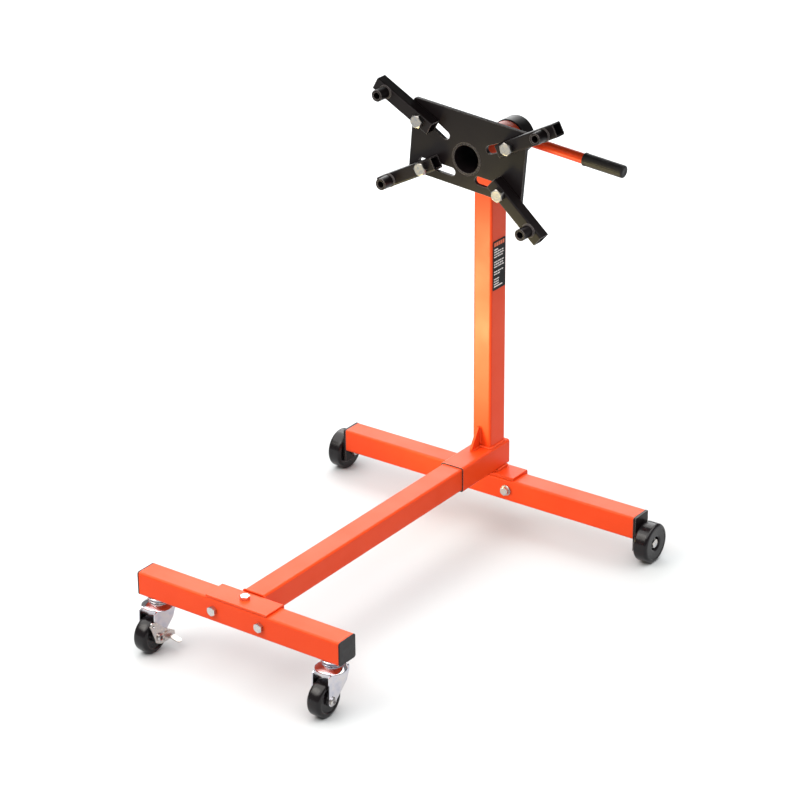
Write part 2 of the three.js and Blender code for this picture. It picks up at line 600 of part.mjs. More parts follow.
{
  const height = plate.top - plate.bottom;
  const shape = roundedRectangle(2 * plate.halfWidth, height, plate.corner);
  const at = [0, plate.front + plate.thickness, (plate.top + plate.bottom) / 2];
  const sheet = toSolid(lay(extrude(shape, plate.thickness, 4), '-y', at));
  const bore = rod(rotor.outer + gap, plate.thickness + 10, 'y', [0, plate.front - 5, 0]);
  const slots = sides.flatMap((side) =>
    [slotCutter(upperSlot, side.sign), slotCutter(lowerSlot, side.sign)]);
  addHeadPiece('mounting_plate', cut(sheet, bore, ...slots), 'black');
}

{
  const handleHole = rod(handleBar.radius + gap, 120, 'x', [-60, handleY, 0], smallSteps);
  const length = rotor.rear - rotor.front;
  const tube = pipe(rotor.outer, rotor.inner, length, 'y', [0, rotor.front, 0]);
  addHeadPiece('rotor_tube', cut(tube, handleHole), 'black');
  const collarLength = collar.rear - collar.front;
  const shoulder = collar.outer - collar.edge;
  const ringProfile = [[collar.inner, 0], [shoulder, 0], [collar.outer, collar.edge],
    [collar.outer, collarLength - collar.edge], [shoulder, collarLength], [collar.inner, collarLength]];
  const ring = turned(ringProfile, 'y', [0, collar.front, 0]);
  addHeadPiece('rear_collar', cut(ring, handleHole), 'black');
}

{
  const length = handleBar.end - handleBar.start;
  const inner = handleBar.radius - handleBar.wall;
  const tube = pipe(handleBar.radius, inner, length, 'x', [handleBar.start, handleY, 0], smallSteps);
  addHeadPiece('handle_bar', tube, 'orange');
  // A sleeve closed at its outer end, with a lip where it starts.
  const reach = grip.end - grip.start;
  const lipRadius = grip.radius + grip.lip;
  const gripProfile = [[0, 0], [lipRadius, 0], [lipRadius, grip.lipLength],
    [grip.radius, grip.lipLength + 1.5], [grip.radius, reach - grip.endEdge],
    [grip.radius - grip.endEdge, reach], [0, reach]];
  const body = turned(gripProfile, 'x', [grip.start, handleY, 0], smallSteps);
  const depth = handleBar.end + gap - grip.start + over;
  const bore = rod(handleBar.radius + gap, depth, 'x', [grip.start - over, handleY, 0], smallSteps);
  addHeadPiece('handle_grip', cut(body, bore), 'rubber');
}

// Arms with their bolts.
for (const spot of armSpots) {
  const rise = Math.tan((spot.slot.slope * Math.PI) / 180);
  const boltX = spot.side * spot.boltX;
  const boltZ = spot.slot.z + (spot.boltX - spot.slot.x) * rise;
  const armBack = plate.front - gap;
  const armFront = armBack - arm.size;
  const turn = new THREE.Matrix4().makeTranslation(boltX, 0, boltZ)
    .multiply(new THREE.Matrix4().makeRotationY((-spot.angle * Math.PI) / 180));

  const tube = boxTube(arm.size, arm.size, arm.wall, arm.radius, arm.inner + arm.outer, 'x',
    [-arm.inner, armBack - arm.size / 2, 0]);
  const stubStart = [arm.stubAt, armFront + 1.5, 0];
  const nose = rod(stub.radius, stub.length + 1.5, '-y', stubStart, 24);
  const bore = rod(stub.bore, 80, 'y', [arm.stubAt, armFront - stub.length - 5, 0], smallSteps);
  const boltHole = rod(m14.hole, 40, 'y', [0, armFront - 5, 0], smallSteps);
  const body = cut(join(tube, nose), bore, boltHole);
  addHeadPiece(`arm_${spot.name}`, toSolid(toGeometry(body).applyMatrix4(turn)), 'black');

  const head = [boltX, armFront - gap, boltZ];
  const shank = arm.size + plate.thickness + 3 * gap + m14.nut + 4;
  addHeadPiece(`arm_bolt_${spot.name}`, hexBolt(m14, shank, '-y', head), 'zinc');
  const nutAt = [boltX, plate.front + plate.thickness + gap, boltZ];
  addHeadPiece(`arm_nut_${spot.name}`, hexNut(m14, 'y', nutAt), 'zinc');
}

export default stand;
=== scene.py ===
# Rolling engine stand: square tube base and post in orange powder coat, a turning head
# with four slotted arms in black, swivel casters in front and fixed wheels behind.
# Lengths in the dictionaries are millimetres, angles are degrees.
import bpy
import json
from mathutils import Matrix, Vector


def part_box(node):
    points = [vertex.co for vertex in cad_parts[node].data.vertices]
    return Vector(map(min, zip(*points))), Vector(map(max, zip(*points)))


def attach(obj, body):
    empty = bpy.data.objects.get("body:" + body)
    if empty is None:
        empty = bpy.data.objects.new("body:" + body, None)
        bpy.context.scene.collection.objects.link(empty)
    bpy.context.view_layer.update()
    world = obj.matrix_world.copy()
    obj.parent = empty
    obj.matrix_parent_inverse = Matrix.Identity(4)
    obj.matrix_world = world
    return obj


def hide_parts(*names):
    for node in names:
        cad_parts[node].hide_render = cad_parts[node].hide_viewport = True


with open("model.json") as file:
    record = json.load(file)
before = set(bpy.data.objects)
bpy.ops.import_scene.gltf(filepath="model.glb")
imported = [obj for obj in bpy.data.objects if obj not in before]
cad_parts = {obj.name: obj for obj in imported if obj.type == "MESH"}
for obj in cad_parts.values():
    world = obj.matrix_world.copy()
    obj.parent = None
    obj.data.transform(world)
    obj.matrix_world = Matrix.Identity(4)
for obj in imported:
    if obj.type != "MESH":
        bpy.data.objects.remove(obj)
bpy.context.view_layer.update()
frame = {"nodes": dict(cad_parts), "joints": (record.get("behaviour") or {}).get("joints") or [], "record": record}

import json
from math import acos, atan2, ceil, cos, pi, radians, sin, sqrt, tan

import bmesh
import bpy
from mathutils import Matrix, Vector

mm = 0.001
jointOf = {joint["name"]: joint for joint in frame["joints"]}
openingOf = {way["name"]: way["box_m"] for way in frame["record"]["physics"]["openings"]}
print("frame loaded:", len(frame["nodes"]), "nodes")


# colours and materials

def linear(hexColour):
    channels = [int(hexColour[start:start + 2], 16) / 255 for start in (1, 3, 5)]
    return [c / 12.92 if c <= 0.04045 else ((c + 0.055) / 1.055) ** 2.4 for c in channels] + [1.0]


def perMetre(size):
    # texture scale for a pattern that repeats about every size millimetres
    return 1000.0 / size


def addNode(tree, kind, settings=None, links=None):
    node = tree.nodes.new(kind)
    for key, value in (settings or {}).items():
        if isinstance(key, str) and hasattr(node, key):
            setattr(node, key, value)
        else:
            node.inputs[key].default_value = value
    for key, socket in (links or {}).items():
        tree.links.new(socket, node.inputs[key])
    return node


def startMaterial(name, settings):
    material = bpy.data.materials.new(name)
    material.use_nodes = True
    tree = material.node_tree
    tree.nodes.clear()
    shader = addNode(tree, "ShaderNodeBsdfPrincipled", settings)
    addNode(tree, "ShaderNodeOutputMaterial", {}, {"Surface": shader.outputs["BSDF"]})
    point = addNode(tree, "ShaderNodeTexCoord").outputs["Object"]
    return material, tree, shader, point


def edgeHighlightMask(tree, radius, tone):
    # painted highlight mask: 1 times tone where the surface turns within radius millimetres, 0 on flats
    soft = addNode(tree, "ShaderNodeBevel", {"samples": 4, "Radius": radius * mm}).outputs["Normal"]
    flat = addNode(tree, "ShaderNodeNewGeometry").outputs["Normal"]
    facing = addNode(tree, "ShaderNodeVectorMath", {"operation": "DOT_PRODUCT"}, {0: soft, 1: flat})
    return addNode(tree, "ShaderNodeMapRange", {"From Min": 0.996, "From Max": 0.95, "To Min": 0.0,
                                                "To Max": tone},
                   {"Value": facing.outputs["Value"]}).outputs["Result"]


def powderCoat(name, look):
    # powder-coated steel: an even, slightly rippled film with a soft gloss, a cloudy tone and light specks,
    # and a painted highlight, a lighter colour, over sharp edges and in the corners as well
    material, tree, shader, point = startMaterial(name, {"Metallic": 0.0, "IOR": 1.5,
                                                         "Specular IOR Level": look["specular"]})
    cloud = addNode(tree, "ShaderNodeTexNoise", {"Scale": perMetre(look["cloud"]), "Detail": 3.0},
                    {"Vector": point})
    body = addNode(tree, "ShaderNodeMix", {"data_type": "RGBA", 6: linear(look["colour"]),
                                           7: linear(look["deep"])}, {0: cloud.outputs["Fac"]})
    speck = addNode(tree, "ShaderNodeTexNoise", {"Scale": perMetre(look["speck"]), "Detail": 2.0},
                    {"Vector": point})
    speckRamp = addNode(tree, "ShaderNodeMapRange", {"From Min": 0.6, "From Max": 0.78,
                                                     "To Min": 0.0, "To Max": look["speckTone"]},
                        {"Value": speck.outputs["Fac"]})
    dotted = addNode(tree, "ShaderNodeMix", {"data_type": "RGBA", 7: linear(look["light"])},
                     {0: speckRamp.outputs["Result"], 6: body.outputs[2]})
    # painted highlight: the edge colour is mixed in over edges and corners
    edge = edgeHighlightMask(tree, look["edgeRadius"], look["paintedHighlightTone"])
    highlightedColour = addNode(tree, "ShaderNodeMix", {"data_type": "RGBA", 7: linear(look["edge"])},
                    {0: edge, 6: dotted.outputs[2]})
    tree.links.new(highlightedColour.outputs[2], shader.inputs["Base Color"])
    gloss = addNode(tree, "ShaderNodeMapRange", {"From Min": 0.3, "From Max": 0.7,
                                                 "To Min": look["rough"][0],
                                                 "To Max": look["rough"][1]},
                    {"Value": cloud.outputs["Fac"]})
    tree.links.new(gloss.outputs["Result"], shader.inputs["Roughness"])
    # the ripple of the cured film, about 2 mm between crests and a few hundredths deep
    peel = addNode(tree, "ShaderNodeTexNoise", {"Scale": perMetre(look["peel"]), "Detail": 1.5},
                   {"Vector": point})
    rolled = addNode(tree, "ShaderNodeTexNoise", {"Scale": perMetre(look["wave"]), "Detail": 1.0},
                     {"Vector": point})
    slow = addNode(tree, "ShaderNodeBump", {"Strength": 0.5, "Distance": look["waveDepth"] * mm},
                   {"Height": rolled.outputs["Fac"]})
    quick = addNode(tree, "ShaderNodeBump", {"Strength": 0.6, "Distance": look["peelDepth"] * mm},
                    {"Height": peel.outputs["Fac"], "Normal": slow.outputs["Normal"]})
    tree.links.new(quick.outputs["Normal"], shader.inputs["Normal"])
    return material


# edge is a painted highlight colour, laid over edges and corners by the edge mask
orangeCoat = powderCoat("orangePowderCoatedSteel", {
    "colour": "#de4517", "deep": "#d63d12", "light": "#e65825", "edge": "#ee6a3c", "edgeRadius": 1.5,
    "speckTone": 0.25, "paintedHighlightTone": 0.35, "cloud": 70.0, "speck": 1.1, "rough": (0.34, 0.44),
    "specular": 0.17, "peel": 2.2, "peelDepth": 0.035, "wave": 26.0, "waveDepth": 0.12})
blackCoat = powderCoat("blackPowderCoatedSteel", {
    "colour": "#181314", "deep": "#130f10", "light": "#2c2626", "edge": "#8f8886", "edgeRadius": 1.3,
    "speckTone": 0.3, "paintedHighlightTone": 0.5, "cloud": 50.0, "speck": 0.9, "rough": (0.3, 0.4),
    "specular": 0.14, "peel": 1.6, "peelDepth": 0.04, "wave": 22.0, "waveDepth": 0.1})


def platedMetal(name, look):
    # electroplated steel: bright metal with a faint crystalline mottle and uneven passivation tint
    material, tree, shader, point = startMaterial(name, {"Metallic": 1.0})
    cloud = addNode(tree, "ShaderNodeTexNoise", {"Scale": perMetre(look["cloud"]), "Detail": 4.0},
                    {"Vector": point})
    ramp = addNode(tree, "ShaderNodeValToRGB", {}, {"Fac": cloud.outputs["Fac"]})
    ramp.color_ramp.elements[0].position = 0.3
    ramp.color_ramp.elements[0].color = linear(look["cool"])
    ramp.color_ramp.elements[1].position = 0.7
    ramp.color_ramp.elements[1].color = linear(look["warm"])
    middle = ramp.color_ramp.elements.new(0.5)
    middle.color = linear(look["colour"])
    tree.links.new(ramp.outputs["Color"], shader.inputs["Base Color"])
    grain = addNode(tree, "ShaderNodeTexNoise", {"Scale": perMetre(look["grain"]), "Detail": 3.0},
                    {"Vector": point})
    gloss = addNode(tree, "ShaderNodeMapRange", {"From Min": 0.3, "From Max": 0.7,
                                                 "To Min": look["rough"][0],
                                                 "To Max": look["rough"][1]},
                    {"Value": grain.outputs["Fac"]})
    tree.links.new(gloss.outputs["Result"], shader.inputs["Roughness"])
    bump = addNode(tree, "ShaderNodeBump", {"Strength": 0.5, "Distance": look["depth"] * mm},
                   {"Height": grain.outputs["Fac"]})
    tree.links.new(bump.outputs["Normal"], shader.inputs["Normal"])
    return material


zincPlate = platedMetal("brightZincPlate", {
    "colour": "#c6c1be", "cool": "#b2b5ba", "warm": "#d0c8bc", "cloud": 6.0, "grain": 0.8,
    "rough": (0.2, 0.32), "depth": 0.015})
dullZinc = platedMetal("passivatedZincPlate", {
    "colour": "#969391", "cool": "#85888c", "warm": "#a0998d", "cloud": 5.0, "grain": 0.7,
    "rough": (0.26, 0.38), "depth": 0.02})
chromePlate = platedMetal("polishedChromePlate", {
    "colour": "#c9c7cd", "cool": "#b9bac6", "warm": "#d0cbca", "cloud": 14.0, "grain": 2.0,
    "rough": (0.1, 0.2), "depth": 0.01})


def mouldedPlastic(name, look):
    # injection-moulded plastic: even colour, fine tool texture, a few soft scuffs and a painted highlight along
    # edges
    material, tree, shader, point = startMaterial(name, {"Metallic": 0.0, "IOR": look["ior"],
                                                         "Specular IOR Level": look["specular"]})
    cloud = addNode(tree, "ShaderNodeTexNoise", {"Scale": perMetre(look["cloud"]), "Detail": 3.0},
                    {"Vector": point})
    body = addNode(tree, "ShaderNodeMix", {"data_type": "RGBA", 6: linear(look["colour"]),
                                           7: linear(look["deep"])}, {0: cloud.outputs["Fac"]})
    # painted highlight: the light colour is mixed in over edges and corners
    edge = edgeHighlightMask(tree, 1.2, look["paintedHighlightTone"])
    highlightedColour = addNode(tree, "ShaderNodeMix", {"data_type": "RGBA", 7: linear(look["light"])},
                    {0: edge, 6: body.outputs[2]})
    tree.links.new(highlightedColour.outputs[2], shader.inputs["Base Color"])
    scuff = addNode(tree, "ShaderNodeTexNoise", {"Scale": perMetre(look["scuff"]), "Detail": 6.0,
                                                 "Distortion": 0.6}, {"Vector": point})
    gloss = addNode(tree, "ShaderNodeMapRange", {"From Min": 0.35, "From Max": 0.7,
                                                 "To Min": look["rough"][0],
                                                 "To Max": look["rough"][1]},
                    {"Value": scuff.outputs["Fac"]})
    tree.links.new(gloss.outputs["Result"], shader.inputs["Roughness"])
    grain = addNode(tree, "ShaderNodeTexVoronoi", {"Scale": perMetre(look["grain"])},
                    {"Vector": point})
    bump = addNode(tree, "ShaderNodeBump", {"Strength": 0.5, "Distance": look["depth"] * mm},
                   {"Height": grain.outputs["Distance"]})
    tree.links.new(bump.outputs["Normal"], shader.inputs["Normal"])
    return material


# light is the painted highlight colour along edges and corners
capPlastic = mouldedPlastic("mouldedPolyethylene", {
    "colour": "#1d191b", "deep": "#161315", "light": "#353032", "paintedHighlightTone": 0.4, "cloud": 30.0,
    "scuff": 9.0, "rough": (0.38, 0.52), "grain": 0.7, "depth": 0.02, "ior": 1.5, "specular": 0.3})
wheelPlastic = mouldedPlastic("mouldedPolypropylene", {
    "colour": "#141012", "deep": "#0e0b0d", "light": "#2c2628", "paintedHighlightTone": 0.3, "cloud": 24.0,
    "scuff": 12.0, "rough": (0.16, 0.28), "grain": 1.5, "depth": 0.006, "ior": 1.49, "specular": 0.3})
gripVinyl = mouldedPlastic("dippedVinyl", {
    "colour": "#171516", "deep": "#121011", "light": "#2a2728", "paintedHighlightTone": 0.3, "cloud": 20.0,
    "scuff": 6.0, "rough": (0.48, 0.62), "grain": 0.9, "depth": 0.05, "ior": 1.53, "specular": 0.3})
filmBlack = mouldedPlastic("printedVinylFilm", {
    "colour": "#120f10", "deep": "#0f0c0d", "light": "#1d191a", "paintedHighlightTone": 0.1, "cloud": 18.0,
    "scuff": 7.0, "rough": (0.3, 0.4), "grain": 1.2, "depth": 0.004, "ior": 1.5, "specular": 0.08})
filmWhite = mouldedPlastic("printedWhiteInk", {
    "colour": "#efe9e7", "deep": "#ddd6d4", "light": "#f6f2f0", "paintedHighlightTone": 0.1, "cloud": 8.0,
    "scuff": 5.0, "rough": (0.4, 0.5), "grain": 0.8, "depth": 0.004, "ior": 1.5, "specular": 0.3})
filmOrange = mouldedPlastic("printedOrangeInk", {
    "colour": "#e2683e", "deep": "#d65f38", "light": "#e87a50", "paintedHighlightTone": 0.1, "cloud": 8.0,
    "scuff": 5.0, "rough": (0.4, 0.5), "grain": 0.8, "depth": 0.004, "ior": 1.5, "specular": 0.3})
print("materials ready")


# mesh building

axisBasis = {
    "x": ((0, 0, 1), (1, 0, 0), (0, 1, 0)), "-x": ((0, 0, -1), (1, 0, 0), (0, 1, 0)),
    "y": ((1, 0, 0), (0, 0, 1), (0, 1, 0)), "-y": ((1, 0, 0), (0, 0, -1), (0, 1, 0)),
    "z": ((1, 0, 0), (0, 1, 0), (0, 0, 1)), "-z": ((1, 0, 0), (0, 1, 0), (0, 0, -1))}


def along(axis, origin):
    # local Z runs along the axis; local X and Y are the other two in order
    return Matrix.Translation(Vector(origin)) @ Matrix(axisBasis[axis]).to_4x4()


def skin(bm, rings, loop=False, caps=True):
    # joins rings of equal length into one closed surface
    rows = [[bm.verts.new(point) for point in ring] for ring in rings]
    pairs = list(zip(rows, rows[1:]))
    if loop:
        pairs.append((rows[-1], rows[0]))
    for lower, upper in pairs:
        for i in range(len(lower)):
            j = (i + 1) % len(lower)
            bm.faces.new((lower[i], lower[j], upper[j], upper[i]))
    if caps and not loop:
        bm.faces.new(rows[0][::-1])
        bm.faces.new(rows[-1])


def lathe(bm, profile, place, steps=64, loop=False):
    # profile is [radius, height] in millimetres, turned about local Z
    rings = []
    for radius, height in profile:
        rings.append([place @ Vector((radius * mm * cos(2 * pi * i / steps),
                                      radius * mm * sin(2 * pi * i / steps), height * mm))
                      for i in range(steps)])
    skin(bm, rings, loop)


def rounded(corners, steps=6):
    # corners are (x, y, radius); returns the outline with each corner turned into an arc
    outline = []
    count = len(corners)
    for i, (x, y, radius) in enumerate(corners):
        here = Vector((x, y))
        before = (Vector(corners[i - 1][:2]) - here).normalized()
        after = (Vector(corners[(i + 1) % count][:2]) - here).normalized()
        if radius <= 0:
            outline.append(here)
            continue
        half = acos(max(-1.0, min(1.0, before.dot(after)))) / 2
        reach = radius / tan(half)
        centre = here + (before + after).normalized() * (radius / sin(half))
        first = here + before * reach - centre
        last = here + after * reach - centre
        start = atan2(first.y, first.x)
        sweep = atan2(last.y, last.x) - start
        sweep = (sweep + pi) % (2 * pi) - pi
        for step in range(steps + 1):
            angle = start + sweep * step / steps
            outline.append(centre + Vector((cos(angle), sin(angle))) * radius)
    return outline


def roundedRectangle(width, height, radius, steps=6):
    x, y = width / 2, height / 2
    return rounded([(x, -y, radius), (x, y, radius), (-x, y, radius), (-x, -y, radius)], steps)


def circle(x, y, radius, steps=40):
    return [Vector((x + radius * cos(2 * pi * i / steps), y + radius * sin(2 * pi * i / steps)))
            for i in range(steps)]


def area(outline):
    return sum(a.x * b.y - b.x * a.y for a, b in zip(outline, outline[1:] + outline[:1])) / 2


def inset(outline, distance):
    # moves every edge of a closed outline to its left by distance
    moved = []
    count = len(outline)
    for i, point in enumerate(outline):
        back = (point - outline[i - 1]).normalized()
        ahead = (outline[(i + 1) % count] - point).normalized()
        first = Vector((-back.y, back.x))
        second = Vector((-ahead.y, ahead.x))
        moved.append(point + (first + second) * (distance / max(0.3, 1 + first.dot(second))))
    return moved


def slab(bm, outline, holes, depth, edge, place, edgeSteps=3):
    # a plate of the outline with its holes, its edges rounded to the edge radius
    loops = [outline if area(outline) > 0 else outline[::-1]]
    loops += [hole if area(hole) < 0 else hole[::-1] for hole in holes]
    levels = [(edge * (1 - sin(i * pi / 2 / edgeSteps)), edge * (1 - cos(i * pi / 2 / edgeSteps)))
              for i in range(edgeSteps + 1)]
    profile = [(shrink, height) for shrink, height in levels]
    profile += [(shrink, depth - height) for shrink, height in reversed(levels)]
    ends = [[], []]
    for loop in loops:
        rows = []
        for shrink, height in profile:
            ring = inset(loop, shrink) if shrink > 1e-6 else loop
            rows.append([bm.verts.new(place @ Vector((p.x * mm, p.y * mm, height * mm)))
                         for p in ring])
        for lower, upper in zip(rows, rows[1:]):
            for i in range(len(lower)):
                j = (i + 1) % len(lower)
                bm.faces.new((lower[i], lower[j], upper[j], upper[i]))
        for side, row in ((0, rows[0]), (1, rows[-1])):
            ends[side] += [bm.edges.get((row[i], row[(i + 1) % len(row)])) for i in range(len(row))]
    for edges in ends:
        bmesh.ops.triangle_fill(bm, use_beauty=True, use_dissolve=False, edges=edges)


def tubeRings(width, height, wall, radius, start, end, place, steps=6, edge=0.4):
    outer = roundedRectangle(width, height, radius, steps)
    broken = roundedRectangle(width - 2 * edge, height - 2 * edge, max(radius - edge, 0.3), steps)
    bore = roundedRectangle(width - 2 * wall, height - 2 * wall, max(radius - wall, 0.5), steps)
    order = [(broken, start), (outer, start + edge), (outer, end - edge), (broken, end),
             (bore, end), (bore, start)]
    return [[place @ Vector((p.x * mm, p.y * mm, level * mm)) for p in ring]
            for ring, level in order]


def weldBead(bm, path, radius, closed=False, pitch=2.6):
    # a rippled bead along the points of path, given in metres
    points = [Vector(p) for p in path] + ([Vector(path[0])] if closed else [])
    fine = []
    for a, b in zip(points, points[1:]):
        steps = max(1, ceil((b - a).length / (0.6 * mm)))
        fine += [a.lerp(b, i / steps) for i in range(steps)]
    if not closed:
        fine.append(points[-1])
    rings = []
    count = len(fine)
    travelled = 0.0
    for i, point in enumerate(fine):
        ahead = fine[(i + 1) % count] if closed else fine[min(i + 1, count - 1)]
        behind = fine[i - 1] if closed or i else fine[0]
        run = (ahead - behind).normalized()
        travelled += (point - behind).length
        side = run.orthogonal().normalized() if abs(run.z) > 0.9 else run.cross((0, 0, 1)).normalized()
        up = run.cross(side).normalized()
        swell = 1.0 + 0.1 * sin(2 * pi * travelled / (pitch * mm))
        swell += 0.06 * sin(2 * pi * travelled / (11.3 * mm))
        if not closed:
            swell *= min(1.0, 0.35 + 0.65 * min(i, count - 1 - i) / 5)
        rings.append([point + (side * cos(k * pi / 5) + up * sin(k * pi / 5)) * radius * mm * swell
                      for k in range(10)])
    skin(bm, rings, loop=closed)


def finish(bm, name, material, body, nodes=(), smooth=32.0, weighted=True):
    bmesh.ops.remove_doubles(bm, verts=bm.verts, dist=1e-7)
    bmesh.ops.recalc_face_normals(bm, faces=bm.faces)
    mesh = bpy.data.meshes.new(name)
    bm.to_mesh(mesh)
    bm.free()
    for face in mesh.polygons:
        face.use_smooth = True
    mesh.set_sharp_from_angle(angle=radians(smooth))
    piece = bpy.data.objects.new(name, mesh)
    bpy.context.scene.collection.objects.link(piece)
    mesh.materials.append(material)
    if weighted:
        modifier = piece.modifiers.new("evenShading", "WEIGHTED_NORMAL")
        modifier.keep_sharp = True
    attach(piece, body)
    if nodes:
        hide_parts(*nodes)
    return piece


def middle(node):
    low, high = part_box(node)
    return (low + high) / 2


def sizeMm(node):
    low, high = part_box(node)
    return (high - low) / mm


def squareTube(name, node, axis, wall, radius, material=orangeCoat):
    size = sizeMm(node)
    width, height = {"x": (size.y, size.z), "y": (size.x, size.z), "z": (size.x, size.y)}[axis]
    half = size["xyz".index(axis)] / 2
    bm = bmesh.new()
    place = along(axis, middle(node))
    skin(bm, tubeRings(width, height, wall, radius, -half, half, place), loop=True)
    return finish(bm, name, material, "frame", [node])


# bolts and nuts

fastener = {
    "hexSteps": 72, "chamfer": 30.0, "crown": 0.94, "dishRadius": 0.62, "dishDepth": 0.25,
    "threadDepth": 0.55, "threadPitch": 1.5, "boltEnd": 1.0}


def hexRadius(flats, angle):
    return flats / 2 / cos((angle - pi / 6) % (pi / 3) - pi / 6)


def hexRings(flats, height, place, chamferBottom=False, turn=0.0):
    # rings of a hexagon whose corners are taken off by a cone, as a forged head has
    steps = fastener["hexSteps"]
    slope = tan(radians(fastener["chamfer"]))
    flat = flats / 2 * fastener["crown"]
    angles = [2 * pi * i / steps for i in range(steps)]
    rim = [(hexRadius(flats, a), (hexRadius(flats, a) - flat) * slope) for a in angles]
    rows = []
    if chamferBottom:
        rows.append([(flat - 0.3, 0.0)] * steps)
        rows.append([(flat, 0.06)] * steps)
        rows.append([(radius, drop) for radius, drop in rim])
    else:
        rows.append([(radius, 0.0) for radius, drop in rim])
    rows.append([(radius, height - drop) for radius, drop in rim])
    rows.append([(flat, height - 0.06)] * steps)
    rows.append([(flat - 0.3, height)] * steps)
    return [[place @ Vector((radius * mm * cos(a + turn), radius * mm * sin(a + turn), z * mm))
             for (radius, z), a in zip(row, angles)] for row in rows], angles


def hexHead(bm, flats, height, place, turn=0.0):
    rings, angles = hexRings(flats, height, place, turn=turn)
    dish = flats / 2 * fastener["dishRadius"]
    for radius, z in ((dish, height), (dish - 0.5, height - fastener["dishDepth"])):
        rings.append([place @ Vector((radius * mm * cos(a + turn), radius * mm * sin(a + turn),
                                      z * mm)) for a in angles])
    skin(bm, rings)


def threadedShank(bm, radius, length, place):
    # plain shank with rolled threads over its last part, cut as rings at the real pitch
    pitch = fastener["threadPitch"]
    low = radius - fastener["threadDepth"]
    threaded = min(length * 0.45, 22.0)
    profile = [(radius, 0.0), (radius, length - threaded)]
    level = length - threaded
    while level < length - fastener["boltEnd"] - pitch:
        profile += [(low, level + pitch * 0.5), (radius, level + pitch)]
        level += pitch
    profile.append((low - 0.3, length))
    lathe(bm, profile, place, 32)


def hexNut(bm, flats, height, bore, place, turn=0.0):
    rings, angles = hexRings(flats, height, place, chamferBottom=True, turn=turn)
    for radius, z in ((bore + 0.7, height), (bore, height - 0.7), (bore, 0.7), (bore + 0.7, 0.0)):
        rings.append([place @ Vector((radius * mm * cos(a + turn), radius * mm * sin(a + turn),
                                      z * mm)) for a in angles])
    skin(bm, rings, loop=True)


def washer(bm, outer, inner, thickness, place):
    edge = 0.3
    lathe(bm, [(inner, 0), (outer - edge, 0), (outer, edge), (outer, thickness - edge),
               (outer - edge, thickness), (inner, thickness)], place, 48, loop=True)


m10 = {"radius": 5.0, "flats": 16.0, "head": 6.4, "nut": 8.0}
m14 = {"radius": 7.0, "flats": 22.0, "head": 9.0, "nut": 12.0}


def boltAt(name, node, axis, size, body, washerSize=None, turn=0.0):
    # the head stands at the end of the node's box that the axis points to
    low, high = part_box(node)
    centre = (low + high) / 2
    index = "xyz".index(axis[-1])
    sign = -1.0 if axis.startswith("-") else 1.0
    tip = high[index] if sign > 0 else low[index]
    seat = centre.copy()
    seat[index] = tip - sign * size["head"] * mm
    opposite = axis[-1] if sign < 0 else "-" + axis
    length = (high - low)[index] / mm - size["head"]
    bm = bmesh.new()
    hexHead(bm, size["flats"], size["head"], along(axis, seat), turn)
    threadedShank(bm, size["radius"], length, along(opposite, seat))
    if washerSize:
        washer(bm, washerSize[0], size["radius"] + 0.05, washerSize[1], along(opposite, seat))
    return finish(bm, name, zincPlate, body, [node])


def nutAt(name, node, axis, size, body):
    low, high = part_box(node)
    seat = (low + high) / 2
    index = "xyz".index(axis[-1])
    seat[index] = low[index] if not axis.startswith("-") else high[index]
    bm = bmesh.new()
    hexNut(bm, size["flats"], size["nut"], size["radius"] + 0.1, along(axis, seat))
    return finish(bm, name, zincPlate, body, [node])


# base: crossbars, beam, sleeve and the angle plates between them

tubeStock = {"wall": 2.5, "radius": 4.5}
squareTube("frontCrossbar", "front_crossbar", "x", tubeStock["wall"], tubeStock["radius"])
squareTube("centreBeam", "centre_beam", "y", tubeStock["wall"], tubeStock["radius"])
squareTube("rearCrossbar", "rear_crossbar", "x", tubeStock["wall"], tubeStock["radius"])
sleeveStock = {"wall": 2.2, "radius": 5.0}
sleeve = squareTube("baseSleeve", "base_sleeve", "y", sleeveStock["wall"], sleeveStock["radius"])
sleeve.data.materials.append(blackCoat)         # front end face painted black as the shadow in the gap round the beam
# painted shade: faces turned to the front get the black coat
for face in sleeve.data.polygons:
    face.material_index = 1 if face.normal.y < -0.5 else 0

endCap = {"flange": 2.7, "edge": 1.1, "plugWall": 2.0}
for side, sign in (("left", -1), ("right", 1)):
    node = f"front_cap_{side}"
    low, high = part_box(node)
    size = sizeMm(node)
    outside = high.x if sign > 0 else low.x
    axis = "x" if sign > 0 else "-x"
    start = Vector((outside - sign * endCap["flange"] * mm, middle(node).y, middle(node).z))
    bm = bmesh.new()
    place = along(axis, start)
    slab(bm, roundedRectangle(size.y, size.z, 4.5), [], endCap["flange"], endCap["edge"], place, 4)
    plug = size.y - 2 * tubeStock["wall"] - 0.6
    skin(bm, tubeRings(plug, plug, endCap["plugWall"], 2.0, -(size.x - endCap["flange"]), 0.2,
                       place), loop=True)
    finish(bm, f"frontCap{side.title()}", capPlastic, "frame", [node])

plugCap = {"flange": 3.0, "edge": 0.9, "plug": 39.4, "wall": 2.0}
low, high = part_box("beam_end_cap")
size = sizeMm("beam_end_cap")
bm = bmesh.new()
place = along("y", (0, high.y - plugCap["flange"] * mm, middle("beam_end_cap").z))
slab(bm, roundedRectangle(size.x, size.z, 2.5), [], plugCap["flange"], plugCap["edge"], place)
skin(bm, tubeRings(plugCap["plug"], plugCap["plug"], plugCap["wall"], 2.0,
                   -(size.y - plugCap["flange"]), 0.2, place), loop=True)
finish(bm, "beamEndCap", capPlastic, "frame", ["beam_end_cap"])


def anglePlate(node, thickness, flange, bend):
    # outline of a plate with a flange turned down at its rear edge, in Y and Z
    low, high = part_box(node)
    depth, drop = (high.y - low.y) / mm, (high.z - low.z) / mm
    return rounded([(0, drop - thickness, 0.4), (depth - flange, drop - thickness, 0.8),
                    (depth - flange, 0, 0.5), (depth, 0, 0.5), (depth, drop, bend),
                    (0, drop, 0.6)])


